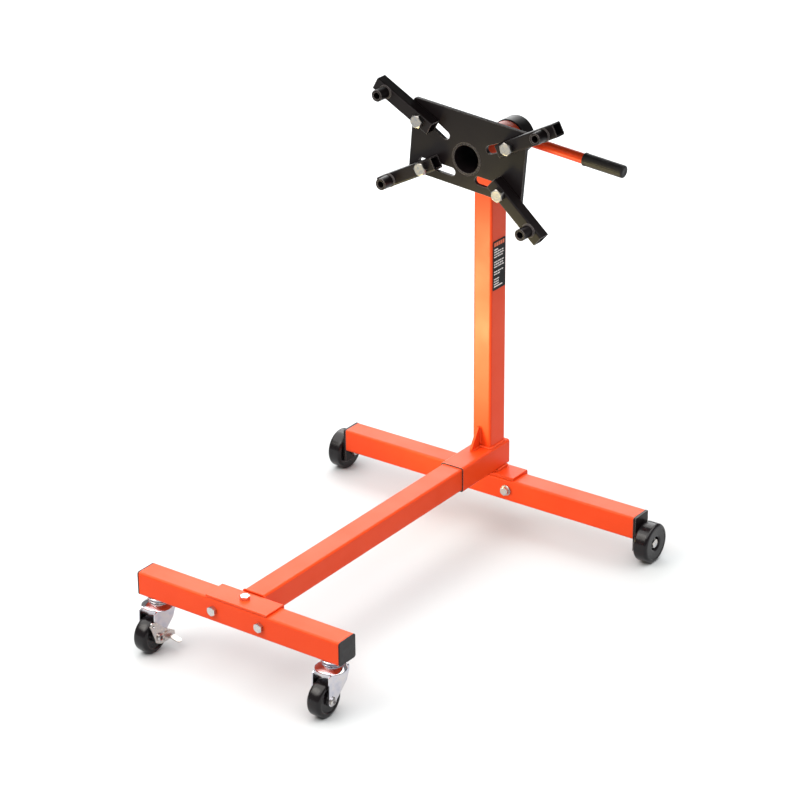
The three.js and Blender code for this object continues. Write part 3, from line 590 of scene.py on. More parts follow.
frontPlate = {"thickness": 4.0, "flange": 4.0, "bend": 4.5, "edge": 0.5}
low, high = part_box("front_saddle")
bm = bmesh.new()
slab(bm, anglePlate("front_saddle", frontPlate["thickness"], frontPlate["flange"], frontPlate["bend"]),
     [], (high.x - low.x) / mm, frontPlate["edge"], along("x", low))
finish(bm, "frontAnglePlate", orangeCoat, "frame", ["front_saddle"])

rearPlate = {"thickness": 6.0, "flange": 5.0, "bend": 5.5, "edge": 0.6, "padEdge": 1.2}
low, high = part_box("rear_saddle")
sleeveLow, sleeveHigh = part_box("base_sleeve")
barLow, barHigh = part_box("rear_crossbar")
plateTop = barHigh.z + (0.3 + rearPlate["thickness"]) * mm
depth, drop = (high.y - low.y) / mm, (plateTop - low.z) / mm
outline = rounded([(0, drop - rearPlate["thickness"], 0.4),
                   (depth - rearPlate["flange"], drop - rearPlate["thickness"], 0.8),
                   (depth - rearPlate["flange"], 0, 0.5), (depth, 0, 0.5),
                   (depth, drop, rearPlate["bend"]), (0, drop, 0.6)])
bm = bmesh.new()
slab(bm, outline, [], (high.x - low.x) / mm, rearPlate["edge"], along("x", (low.x, barLow.y, low.z)))
padFront = barLow.y + 5 * mm
padBack = sleeveHigh.y - 3 * mm
padBottom = plateTop - 1 * mm
padTop = sleeveLow.z - 0.3 * mm
padShape = roundedRectangle((sleeveHigh.x - sleeveLow.x) / mm, (padBack - padFront) / mm, 2.0)
slab(bm, padShape, [], (padTop - padBottom) / mm, rearPlate["padEdge"],
     along("z", (0, (padFront + padBack) / 2, padBottom)))
finish(bm, "rearAnglePlate", orangeCoat, "frame", ["rear_saddle"])

for side in ("left", "right"):
    boltAt(f"frontBolt{side.title()}", f"front_bolt_{side}", "-y", m10, "frame")
    nutAt(f"frontNut{side.title()}", f"front_nut_{side}", "y", m10, "frame")
    boltAt(f"rearBolt{side.title()}", f"rear_bolt_{side}", "-y", m10, "frame", (10.5, 2.0))
    nutAt(f"rearNut{side.title()}", f"rear_nut_{side}", "y", m10, "frame")
boltAt("frontBoltTop", "front_bolt_top", "z", m10, "frame")
nutAt("frontNutTop", "front_nut_top", "-z", m10, "frame")
boltAt("sleeveBolt", "sleeve_bolt", "-z", m10, "frame")
print("base built")


# post, gusset and welds

postStock = {"wall": 2.5, "radius": 4.5, "copeClearance": 0.3}
headAxis = Vector(jointOf["head_spin"]["pos_m"])
tubeRadius = 34.0                                       # outside radius of the head tube
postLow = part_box("post")[0]
postMid = middle("post")
postSize = sizeMm("post")


def copeHeight(x):
    # height where the post meets the round head tube
    reach = (tubeRadius + postStock["copeClearance"]) * mm
    return headAxis.z - sqrt(max(reach * reach - x * x, 0.0))


def postRing(width, depth, radius, top):
    ring = []
    for p in roundedRectangle(width, depth, radius, 8):
        x = p.x * mm
        z = copeHeight(x) if top else postLow.z
        ring.append(Vector((postMid.x + x, postMid.y + p.y * mm, z)))
    return ring


def denser(ring, longest):
    # splits long stretches so that the coped edge follows the curve
    out = []
    for a, b in zip(ring, ring[1:] + ring[:1]):
        steps = max(1, ceil((b - a).length / longest))
        out += [a.lerp(b, i / steps) for i in range(steps)]
    return out


def coped(ring):
    return [Vector((p.x, p.y, copeHeight(p.x - postMid.x))) for p in ring]


outerRing = denser(postRing(postSize.x, postSize.y, postStock["radius"], False), 3 * mm)
boreScale = Vector(((postSize.x - 2 * postStock["wall"]) / postSize.x,
                    (postSize.y - 2 * postStock["wall"]) / postSize.y, 1.0))
innerRing = [Vector((postMid.x + (p.x - postMid.x) * boreScale.x,
                     postMid.y + (p.y - postMid.y) * boreScale.y, p.z)) for p in outerRing]
bm = bmesh.new()
skin(bm, [outerRing, coped(outerRing), coped(innerRing), innerRing], loop=True)
finish(bm, "post", orangeCoat, "frame", ["post"])

gussetPlate = {"thickness": 5.0, "nose": 6.0, "topDepth": 5.0, "edge": 0.6}
low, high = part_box("post_gusset")
depth, height = (high.y - low.y) / mm, (high.z - low.z) / mm
corners = [(0, 0, 0.5), (depth, 0, 0.5), (depth, height, 0.5),
           (depth - gussetPlate["topDepth"], height, 1.5), (0, gussetPlate["nose"], 2.0)]
bm = bmesh.new()
slab(bm, rounded(corners, 4), [], gussetPlate["thickness"], gussetPlate["edge"], along("x", low))
finish(bm, "postGusset", orangeCoat, "frame", ["post_gusset"])

weld = {"foot": 2.8, "gusset": 2.0, "head": 2.6, "beam": 1.3, "sleeve": 2.2, "pad": 1.8,
        "seam": 46.0}
gussetLow, gussetHigh = low, high
footRing = [Vector((p.x, p.y, postLow.z + 0.3 * mm))
            for p in postRing(postSize.x + 1.2, postSize.y + 1.2, postStock["radius"] + 0.6, False)]
bm = bmesh.new()
weldBead(bm, footRing, weld["foot"], closed=True)
bmHead = coped(denser(postRing(postSize.x + 1.0, postSize.y + 1.0, 5.0, False), 3 * mm))
weldBead(bm, bmHead, weld["head"], closed=True)
for sign in (-1, 1):
    x = (gussetLow.x + gussetHigh.x) / 2 + sign * (gussetPlate["thickness"] / 2 + 0.6) * mm
    weldBead(bm, [(x, gussetLow.y + 2 * mm, gussetLow.z + 0.4 * mm),
                  (x, gussetHigh.y - 2 * mm, gussetLow.z + 0.4 * mm)], weld["gusset"])
    weldBead(bm, [(x, gussetHigh.y - 0.2 * mm, gussetLow.z + 4 * mm),
                  (x, gussetHigh.y - 0.2 * mm, gussetHigh.z - 1 * mm)], weld["gusset"])
    edge = sign * (sleeveHigh.x + 0.2 * mm)
    weldBead(bm, [(edge, padFront + 3 * mm, sleeveLow.z), (edge, padBack - 3 * mm, sleeveLow.z)],
             weld["sleeve"])
    weldBead(bm, [(edge, padFront + 2 * mm, plateTop + 0.2 * mm),
                  (edge, padBack - 8 * mm, plateTop + 0.2 * mm)], weld["pad"])
weldBead(bm, [(-20 * mm, padFront, plateTop + 0.3 * mm), (20 * mm, padFront, plateTop + 0.3 * mm)],
         weld["pad"])
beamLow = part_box("centre_beam")[0]
beamMid = middle("centre_beam")
seam = [Vector((beamMid.x + p.x * mm, beamLow.y + 0.6 * mm, beamMid.z + p.y * mm))
        for p in roundedRectangle(weld["seam"], weld["seam"], 5, 8)]
weldBead(bm, seam, weld["beam"], closed=True)
finish(bm, "weldBeads", orangeCoat, "frame", smooth=60.0, weighted=False)


# label on the post: plain blocks and bars, no lettering

labelPrint = {
    "corner": 1.5, "rise": 0.12, "margin": 3.5, "heading": 7.5, "barHeight": 2.3,  # coarser than print
    "rows": [(0.45, 0), (0.9, 1), (0.95, 1), (0.85, 1), (0.0, 0), (0.95, 1), (0.9, 1), (0.95, 1),
             (0.0, 0), (0.9, 1), (0.6, 1), (0.0, 0), (0.5, 1), (0.45, 1), (0.5, 1), (0.8, 0)]}
low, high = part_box("warning_label")
centre = middle("warning_label")
size = sizeMm("warning_label")
film = labelPrint
bm = bmesh.new()
slab(bm, roundedRectangle(size.y, size.z, film["corner"]), [], size.x, 0.15,
     along("x", (low.x, centre.y, centre.z)), 2)
filmFaces = len(bm.faces)


def inkBlock(left, right, bottom, top):
    corners = [Vector((left, bottom)), Vector((right, bottom)), Vector((right, top)), Vector((left, top))]
    slab(bm, corners, [], film["rise"] + 0.1, 0.04, along("x", (high.x - 0.1 * mm, centre.y, centre.z)), 1)


halfWidth, halfHeight = size.y / 2 - film["margin"], size.z / 2 - film["margin"]
for start, end in ((0.0, 0.16), (0.2, 0.36), (0.4, 0.56), (0.6, 0.76), (0.8, 0.96)):
    inkBlock(-halfWidth + 2 * halfWidth * start, -halfWidth + 2 * halfWidth * end,
             halfHeight - film["heading"], halfHeight)
orangeFaces = len(bm.faces)
rowTop = halfHeight - film["heading"] - 5
pitch = (rowTop + halfHeight) / len(film["rows"])
for row, (share, broken) in enumerate(film["rows"]):
    top = rowTop - row * pitch
    if share <= 0:
        continue
    words = 5 if broken else 1
    reach = 2 * halfWidth * share
    for word in range(words):
        left = -halfWidth + reach * word / words
        right = left + reach / words * (0.86 if broken else 1.0) * (0.8 + 0.2 * ((row + word) % 2))
        inkBlock(left, right, top - film["barHeight"], top)
bm.faces.ensure_lookup_table()
for index, face in enumerate(bm.faces):
    face.material_index = 0 if index < filmFaces else (1 if index < orangeFaces else 2)
labelPiece = finish(bm, "plainLabel", filmBlack, "frame", ["warning_label"])
labelPiece.data.materials.append(filmOrange)
labelPiece.data.materials.append(filmWhite)
print("post built")


# rear wheels on their end plates

endPlate = {"corner": 3.0, "edge": 0.5}
rearTyre = {"corner": 6.0, "recess": 12.4, "recessDepth": 9.0, "bore": 5.4, "steps": 96}
rearBoltSize = {"radius": 5.0, "flats": 16.0, "head": 6.5, "nut": 7.0}
for side, sign in (("left", -1), ("right", 1)):
    out = "x" if sign > 0 else "-x"
    node = f"axle_bracket_{side}"
    low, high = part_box(node)
    size = sizeMm(node)
    inside = low.x if sign > 0 else high.x
    axle = middle(f"rear_wheel_{side}")
    shift = Vector((axle.y - middle(node).y, axle.z - middle(node).z)) / mm
    bm = bmesh.new()
    slab(bm, roundedRectangle(size.y, size.z, endPlate["corner"]), [circle(shift.x, shift.y, 5.4)],
         size.x, endPlate["edge"], along(out, (inside, middle(node).y, middle(node).z)))
    finish(bm, f"axlePlate{side.title()}", blackCoat, "frame", [node])

    node = f"rear_wheel_{side}"
    low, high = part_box(node)
    radius = sizeMm(node).z / 2
    wheelStart = (low.x if sign > 0 else high.x) + sign * 0.8 * mm      # behind the hub's step
    width = sizeMm(node).x - 0.8
    tyre = rearTyre
    corner = tyre["corner"]
    profile = [(tyre["bore"], -0.8), (9.8, -0.8), (11.2, 0.0), (radius - corner - 3, 0.4)]
    profile += [(radius - corner + corner * sin(k * pi / 16), corner - corner * cos(k * pi / 16))
                for k in range(9)]
    profile += [(radius, width * 0.5)]
    profile += [(radius - corner + corner * cos(k * pi / 16),
                 width - corner + corner * sin(k * pi / 16)) for k in range(9)]
    recess, recessFloor = tyre["recess"], width - tyre["recessDepth"]
    profile += [(radius - corner - 1.2, width), (radius - corner - 2.0, width - 0.7),
                (recess + 4.5, width - 1.1), (recess + 2.4, width - 1.6), (recess + 0.6, width - 3.0),
                (recess - 0.6, recessFloor + 1), (recess - 2.0, recessFloor),
                (tyre["bore"], recessFloor)]
    bm = bmesh.new()
    lathe(bm, profile, along(out, (wheelStart, axle.y, axle.z)), tyre["steps"], loop=True)
    finish(bm, f"rearWheel{side.title()}", wheelPlastic, f"back_wheel_{side}", [node])

    node = f"rear_axle_{side}"
    low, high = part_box(node)
    tip = high.x if sign > 0 else low.x
    seat = Vector((tip - sign * rearBoltSize["head"] * mm, axle.y, axle.z))
    back = "-x" if sign > 0 else "x"
    bm = bmesh.new()
    hexHead(bm, rearBoltSize["flats"], rearBoltSize["head"], along(out, seat), 0.2)
    washer(bm, 10.0, 5.05, 1.8, along(out, seat))
    threadedShank(bm, rearBoltSize["radius"], sizeMm(node).x - rearBoltSize["head"], along(back, seat))
    finish(bm, f"rearAxleBolt{side.title()}", zincPlate, "frame", [node])

    node = f"rear_axle_nut_{side}"
    low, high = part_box(node)
    nutSeat = Vector((high.x if sign > 0 else low.x, axle.y, axle.z))
    bm = bmesh.new()
    hexNut(bm, 15.0, rearBoltSize["nut"], rearBoltSize["radius"] + 0.1, along(back, nutSeat), pi / 6)
    finish(bm, f"rearAxleNut{side.title()}", zincPlate, "frame", [node])
print("rear wheels built")


# swivel casters

casterTop = {"stem": 6.0, "ring": 21.5, "pin": 5.0}
casterCup = {"rim": 28.5, "shoulder": 21.8, "top": 19.0, "bore": 5.6, "shift": -7.0, "steps": 72}
casterFork = {"half": 18.5, "sheet": 2.5, "bend": 4.0, "front": -36.0, "back": 19.0,
              "hub": 10.0, "knee": 22.0, "shoulder": 40.0, "crown": 83.0}
casterTyre = {"shoulder": 5.5, "crown": 1.6, "web": 2.2, "hub": 10.0, "bore": 4.4, "steps": 96,
              "halfWidth": 14.0, "hubEdge": 15.5}
casterRivet = {"head": 7.5, "height": 4.0, "hollow": 3.4, "radius": 4.0}


def forkExtent(z, wheelY, wheelZ, stemY):
    # front and back edge of a fork leg at height z, all in millimetres
    fork = casterFork
    dz = z - wheelZ
    hubHalf = sqrt(max(fork["hub"] ** 2 - dz ** 2, 0.0)) if dz < fork["hub"] else 0.0
    crown = fork["crown"]
    if dz <= 3:
        front = wheelY - hubHalf
    else:
        nose = wheelY - 9.5
        front = nose + (stemY + fork["front"] - nose) * (z - wheelZ - 3) / (crown - wheelZ - 3)
    low, knee, top = wheelZ - 6.4, wheelZ + fork["knee"], wheelZ + fork["shoulder"]
    hubBack = wheelY + 7.7
    if z <= low:
        back = wheelY + hubHalf
    elif z <= knee:
        back = hubBack + (stemY + 12 - hubBack) * (z - low) / (knee - low)
    elif z <= top:
        back = stemY + 12 + 7 * (z - knee) / (top - knee)
    else:
        back = stemY + fork["back"]
    return front, back


for side, sign in (("left", -1), ("right", 1)):
    stem = middle(f"caster_race_{side}")
    wheel = middle(f"caster_wheel_{side}")
    top = casterTop
    ground = Vector((stem.x, stem.y, 0))
    profile = [(1.0, 75), (7.0, 75), (8.0, 76), (8.0, 79.2), (top["pin"], 79.7), (top["pin"], 89.4),
               (19.0, 89.4), (20.6, 89.7), (21.4, 90.5), (21.4, 91.2), (20.4, 91.9), (17.4, 92.4),
               (16.8, 93.4), (17.4, 94.3), (top["ring"] - 1.2, 94.6), (top["ring"], 95.3),
               (top["ring"], 96.9), (top["ring"] - 0.7, 97.7), (top["stem"], 97.7), (top["stem"], 112),
               (5.0, 113), (1.0, 113)]
    bm = bmesh.new()
    lathe(bm, profile, along("z", ground), 72)
    finish(bm, f"casterRace{side.title()}", chromePlate, "frame",
           [f"caster_race_{side}"], smooth=40.0, weighted=False)

    # fork: one stamped sheet, legs folded down from the crown
    fork = casterFork
    wheelY, wheelZ, stemY = wheel.y / mm, wheel.z / mm, stem.y / mm
    crownTop = fork["crown"]
    half, bend, sheet = fork["half"], fork["bend"], fork["sheet"]
    path = []                                        # (x offset, z) up one leg, over, down the other
    for k in range(31):
        share = k / 30
        z = wheelZ - fork["hub"] + (crownTop - bend - wheelZ + fork["hub"]) * share ** 1.35
        path.append((-half, z))
    for k in range(1, 7):
        angle = k * pi / 12
        path.append((-half + bend - bend * cos(angle), crownTop - bend + bend * sin(angle)))
    across = [(x, crownTop) for x in (-10, -5, 0)]
    path = path + across + [(-x, z) for x, z in reversed(path + across[:-1])]
    rows = 12
    grid = []
    for x, z in path:
        front, back = forkExtent(z, wheelY, wheelZ, stemY)
        if z > crownTop - bend:                      # crown is rounded in front
            reach = 9.0 * (1 - sqrt(max(0.0, 1 - (abs(x) / half) ** 2)))
            front += reach * min(1.0, (z - crownTop + bend) / bend)
        grid.append([Vector(((stem.x / mm + x) * mm, (front + (back - front) * i / rows) * mm, z * mm))
                     for i in range(rows + 1)])
    bm = bmesh.new()
    for inward in (False, True):
        sheetRows = []
        for index, row in enumerate(grid):
            x, z = path[index]
            ahead = path[min(index + 1, len(path) - 1)]
            behind = path[max(index - 1, 0)]
            run = Vector((ahead[0] - behind[0], ahead[1] - behind[1])).normalized()
            normal = Vector((run.y, 0, -run.x)) * sheet * mm
            sheetRows.append([bm.verts.new(p + normal if inward else p) for p in row])
        for a, b in zip(sheetRows, sheetRows[1:]):
            for i in range(rows):
                bm.faces.new((a[i], a[i + 1], b[i + 1], b[i]))
        if not inward:
            outerRows = sheetRows
    innerRows = sheetRows
    edgeOut = [row[0] for row in outerRows] + outerRows[-1][1:] + \
        [row[-1] for row in outerRows[-2::-1]] + outerRows[0][-2:0:-1]
    edgeIn = [row[0] for row in innerRows] + innerRows[-1][1:] + \
        [row[-1] for row in innerRows[-2::-1]] + innerRows[0][-2:0:-1]
    for i in range(len(edgeOut)):
        j = (i + 1) % len(edgeOut)
        bm.faces.new((edgeOut[i], edgeOut[j], edgeIn[j], edgeIn[i]))
    cup = casterCup
    # the dish leans out over the wheel: radius, height and share of the shift for each ring
    cupRings = [(cup["bore"], 80.3, 0.0), (cup["rim"] - 1.2, 80.2, 1.0), (cup["rim"], 81.0, 1.0),
                (cup["rim"] - 0.2, 82.0, 1.0), (cup["rim"] - 1.0, 82.8, 1.0),
                (cup["shoulder"] + 3.0, 84.8, 0.6), (cup["shoulder"] + 1.2, 86.2, 0.3),
                (cup["shoulder"], 87.4, 0.0), (cup["shoulder"] - 0.9, 88.3, 0.0),
                (cup["top"], 88.9, 0.0), (cup["bore"], 89.0, 0.0)]
    turns = [2 * pi * k / cup["steps"] for k in range(cup["steps"])]
    skin(bm, [[ground + Vector((r * cos(a), r * sin(a) + cup["shift"] * share, z)) * mm for a in turns]
              for r, z, share in cupRings], loop=True)
    finish(bm, f"casterFork{side.title()}", chromePlate, f"swivel_{side}",
           [f"caster_fork_{side}"], smooth=38.0)

    # wheel: crowned tread with soft shoulders, thin web and a hub
    tyre = casterTyre
    radius = sizeMm(f"caster_wheel_{side}").z / 2
    halfWidth = tyre["halfWidth"]
    shoulder = tyre["shoulder"]
    tread = []
    for k in range(25):
        y = -halfWidth + 2 * halfWidth * k / 24
        edge = max(0.0, abs(y) - (halfWidth - shoulder)) / shoulder
        drop = shoulder * (1 - sqrt(max(0.0, 1 - edge ** 2))) + tyre["crown"] * (y / halfWidth) ** 2
        tread.append((radius - drop, y))
    hubEdge = tyre["hubEdge"]
    profile = [(tyre["bore"], -hubEdge), (tyre["hub"] - 0.8, -hubEdge), (tyre["hub"], -hubEdge + 0.8),
               (tyre["hub"] + 0.6, -halfWidth + tyre["web"]), (radius - 10.5, -halfWidth + tyre["web"]),
               (radius - 9.0, -halfWidth + 0.3)] + tread + \
              [(radius - 9.0, halfWidth - 0.3), (radius - 10.5, halfWidth - tyre["web"]),
               (tyre["hub"] + 0.6, halfWidth - tyre["web"]), (tyre["hub"], hubEdge - 0.8),
               (tyre["hub"] - 0.8, hubEdge), (tyre["bore"], hubEdge)]
    bm = bmesh.new()
    lathe(bm, profile, along("x", wheel), tyre["steps"], loop=True)
    finish(bm, f"casterWheel{side.title()}", wheelPlastic, f"front_wheel_{side}",
           [f"caster_wheel_{side}"], smooth=50.0, weighted=False)

    # hollow rivet through the hub, rolled over at both ends
    rivet = casterRivet
    low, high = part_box(f"caster_axle_{side}")
    first, last = (low.x - wheel.x) / mm, (high.x - wheel.x) / mm
    profile = []
    for end, turnOut in ((first, 1), (last, -1)):
        lip = [(rivet["hollow"], end + turnOut * 2.5), (rivet["hollow"] + 0.2, end + turnOut * 0.8),
               (rivet["hollow"] + 1.2, end), (rivet["head"] - 1.6, end + turnOut * 0.4),
               (rivet["head"], end + turnOut * 2.0), (rivet["head"], end + turnOut * rivet["height"]),
               (rivet["radius"], end + turnOut * rivet["height"])]
        profile += lip if turnOut > 0 else lip[::-1]
    bm = bmesh.new()
    lathe(bm, profile, along("x", wheel), 48, loop=True)
    finish(bm, f"casterRivet{side.title()}", zincPlate, f"swivel_{side}",
           [f"caster_axle_{side}"], smooth=40.0)
print("casters built")


# foot brake on the left caster

brakeLever = {"sheet": 2.5, "edge": 0.5, "rosette": 9.5, "teeth": 20, "tongueWidth": 11.0,
              "tongueReach": 25.0, "hole": 4.3}
low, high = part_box("brake_lever")
wheel = middle("caster_wheel_left")
plateX = low.x
brake = brakeLever
outline = rounded([(-12.2, 1, 1), (-10, -8, 7), (4, -15, 11), (30, -16, 3), (41, -13, 4), (40, -4, 4),
                   (14, 12, 6), (-6, 31, 5), (-19, 36, 4), (-23, 29, 4)], 5)
bm = bmesh.new()
slab(bm, outline, [circle(0, 0, brake["hole"], 24), circle(-15, 27, 2.6, 20)], brake["sheet"],
     brake["edge"], along("x", (plateX, wheel.y, wheel.z)))
# serrated rosette pressed on the plate, just above the tongue
teeth = []
for k in range(brake["teeth"] * 4):
    angle = 2 * pi * k / (brake["teeth"] * 4)
    radius = brake["rosette"] * (1.0 if k % 4 in (0, 1) else 0.86)
    teeth.append(Vector((18 + radius * cos(angle), -5 + radius * sin(angle))))
slab(bm, teeth, [], 2.2, 0.3, along("x", (plateX + (brake["sheet"] - 0.2) * mm, wheel.y, wheel.z)), 1)
tongue = roundedRectangle(brake["tongueReach"], brake["tongueWidth"], 6.0)
tilt = Matrix.Rotation(0.12, 4, "X") @ Matrix.Rotation(0.2, 4, "Y")
tonguePlace = Matrix.Translation((plateX + (brake["tongueReach"] / 2 - 0.4) * mm,
                                  wheel.y + 30 * mm, wheel.z - 14 * mm)) @ tilt
slab(bm, tongue, [], brake["sheet"], brake["edge"], tonguePlace)
finish(bm, "brakeLever", zincPlate, "brake", ["brake_lever"])
print("brake built")


# head tube and lock pin

headTube = {"outer": 34.0, "inner": 30.5, "edge": 0.6, "boss": 11.0, "bossBore": 5.8, "bossEdge": 0.7}
low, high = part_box("head_tube")
length = (high.y - low.y) / mm
pinMid = middle("lock_pin")
tube = headTube
bm = bmesh.new()
profile = [(tube["inner"], 0), (tube["outer"] - tube["edge"], 0), (tube["outer"], tube["edge"]),
           (tube["outer"], length * 0.5), (tube["outer"], length - tube["edge"]),
           (tube["outer"] - tube["edge"], length), (tube["inner"], length)]
lathe(bm, profile, along("y", (0, low.y, headAxis.z)), 96, loop=True)
bossEnd = low.x / mm
bossStart = -(tube["outer"] - 1.2)
reach = bossStart - bossEnd
profile = [(tube["bossBore"], 0), (tube["boss"], 0), (tube["boss"], reach - tube["bossEdge"]),
           (tube["boss"] - tube["bossEdge"], reach), (tube["bossBore"], reach)]
lathe(bm, profile, along("-x", (bossStart * mm, pinMid.y, headAxis.z)), 48, loop=True)
ring = []
for k in range(48):
    angle = 2 * pi * k / 48
    y, z = (tube["boss"] + 0.5) * cos(angle), (tube["boss"] + 0.5) * sin(angle)
    ring.append(Vector((-sqrt(tube["outer"] ** 2 - z * z) * mm, pinMid.y + y * mm, headAxis.z + z * mm)))
weldBead(bm, ring, 1.8, closed=True)
finish(bm, "headTube", orangeCoat, "frame", ["head_tube"])

low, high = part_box("lock_pin")
reach = (high.x - low.x) / mm
profile = [(0.8, 0), (3.2, 0.0), (4.6, 0.7), (5.5, 2.2), (5.5, 17.6), (8.0, 17.8), (8.5, 18.4),
           (8.5, 20.6), (7.6, 21.8), (6.0, 23.6), (6.0, 26.6), (8.2, 28.8), (9.0, 30.0), (9.0, 32.6),
           (8.0, 34.2), (6.5, reach), (0.8, reach)]
bm = bmesh.new()
lathe(bm, profile, along("-x", (high.x, pinMid.y, pinMid.z)), 56)
finish(bm, "lockPin", zincPlate, "pin", ["lock_pin"], smooth=40.0)


# turning head: plate, rotor tube, collar and handle

headTurn = 5.3                               # the head rests turned a little to the right
headPlace = Matrix.Translation((headAxis.x, 0, headAxis.z)) @ Matrix.Rotation(radians(headTurn), 4, "Y")
plateLow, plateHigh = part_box("mounting_plate")
headPlate = {"halfWidth": 122.0, "top": 84.5, "bottom": -56.5, "corner": 5.0, "edge": 0.8,
             "bore": 30.3, "slot": 7.8, "upper": (47.5, 32.0, 105.0, 27.0),
             "lower": (29.0, -33.0, 93.0, 0.0)}


def slotOutline(side, x, z, endX, slope):
    rise = tan(radians(slope)) * (endX - x)
    first = Vector((side * x, z))
    last = Vector((side * endX, z + rise))
    turn = atan2(last.y - first.y, last.x - first.x)
    ends = []
    for centre, base in ((last, turn - pi / 2), (first, turn + pi / 2)):
        ends += [centre + Vector((cos(base + pi * k / 14), sin(base + pi * k / 14))) * headPlate["slot"]
                 for k in range(15)]
    return ends


plate = headPlate
corner = plate["corner"]
halfWidth = plate["halfWidth"]
outline = rounded([(halfWidth, plate["bottom"], corner), (halfWidth, plate["top"], corner),
                   (-halfWidth, plate["top"], corner), (-halfWidth, plate["bottom"], corner)])
holes = [circle(0, 0, plate["bore"], 96)]
holes += [slotOutline(side, *plate[row]) for side in (-1, 1) for row in ("upper", "lower")]
bm = bmesh.new()
slab(bm, outline, holes, (plateHigh.y - plateLow.y) / mm, plate["edge"],
     headPlace @ along("y", (0, plateLow.y, 0)))
finish(bm, "mountingPlate", blackCoat, "head", ["mounting_plate"])

rotorTube = {"outer": 30.0, "inner": 26.0, "edge": 0.9}
low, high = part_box("rotor_tube")
length = (high.y - low.y) / mm
rotor = rotorTube
profile = [(rotor["inner"], rotor["edge"]), (rotor["inner"] + rotor["edge"], 0),
           (rotor["outer"] - rotor["edge"], 0), (rotor["outer"], rotor["edge"]),
           (rotor["outer"], length - rotor["edge"]), (rotor["outer"] - rotor["edge"], length),
           (rotor["inner"] + rotor["edge"], length), (rotor["inner"], length - rotor["edge"])]
bm = bmesh.new()
lathe(bm, profile, headPlace @ along("y", (0, low.y, 0)), 96, loop=True)
ring = [headPlace @ Vector(((rotor["outer"] + 0.6) * mm * cos(2 * pi * k / 72), plateHigh.y + 0.2 * mm,
                            (rotor["outer"] + 0.6) * mm * sin(2 * pi * k / 72))) for k in range(72)]
weldBead(bm, ring, 1.3, closed=True)
finish(bm, "rotorTube", blackCoat, "head", ["rotor_tube"])

rearCollar = {"outer": 36.0, "inner": 30.2, "edge": 1.6}
low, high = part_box("rear_collar")
length = (high.y - low.y) / mm
collar = rearCollar
edge = collar["edge"]
profile = [(collar["inner"], 0), (collar["outer"] - edge, 0)]
profile += [(collar["outer"] - edge + edge * sin(k * pi / 8), edge - edge * cos(k * pi / 8))
            for k in range(1, 5)]
profile += [(collar["outer"] - edge + edge * cos(k * pi / 8), length - edge + edge * sin(k * pi / 8))
            for k in range(5)]
profile += [(collar["inner"], length)]
bm = bmesh.new()
lathe(bm, profile, headPlace @ along("y", (0, low.y, 0)), 96, loop=True)
finish(bm, "rearCollar", blackCoat, "head", ["rear_collar"])

handle = {"radius": 10.0, "wall": 2.0, "start": -50.0, "end": 232.0, "edge": 0.5}
handleY = jointOf["head_spin"]["pos_m"][1]
profile = [(handle["radius"] - handle["wall"], 0), (handle["radius"] - handle["edge"], 0),
           (handle["radius"], handle["edge"]), (handle["radius"], handle["end"] - handle["start"]),
           (handle["radius"] - handle["wall"], handle["end"] - handle["start"])]
bm = bmesh.new()
lathe(bm, profile, headPlace @ along("x", (handle["start"] * mm, handleY, 0)), 64, loop=True)
finish(bm, "handleBar", orangeCoat, "head", ["handle_bar"])

gripSleeve = {"radius": 12.0, "start": 153.0, "end": 238.0, "lip": 0.6, "bore": 10.1, "flutes": 24,
              "fluteDepth": 0.35}
grip = gripSleeve
reach = grip["end"] - grip["start"]
outerProfile = [(grip["bore"], 0.0), (grip["radius"] - 0.6, 0.0), (grip["radius"] + grip["lip"], 0.8),
                (grip["radius"] + grip["lip"], 3.6), (grip["radius"] + 0.1, 5.0)]
outerProfile += [(grip["radius"], 5.6 + (reach - 11.6) * k / 12) for k in range(13)]
outerProfile += [(grip["radius"] - 4.0 + 4.0 * cos(k * pi / 16), reach - 4.0 + 4.0 * sin(k * pi / 16))
                 for k in range(1, 8)]
outerProfile += [(5.5, reach - 0.05), (5.0, reach - 0.4), (0.6, reach - 0.4)]
place = headPlace @ along("x", (grip["start"] * mm, handleY, 0))
rings = []
for radius, level in outerProfile:
    ring = []
    fluted = 6.0 < level < reach - 5.5
    for k in range(144):
        angle = 2 * pi * k / 144
        depth = grip["fluteDepth"] * (0.5 - 0.5 * cos(grip["flutes"] * angle)) if fluted else 0.0
        ring.append(place @ Vector(((radius - depth) * mm * cos(angle), (radius - depth) * mm * sin(angle),
                                    level * mm)))
    rings.append(ring)
bm = bmesh.new()
skin(bm, rings)
finish(bm, "handleGrip", gripVinyl, "head", ["handle_grip"], smooth=40.0)
print("head built")


# four arms, each with its clamping bolt and nut

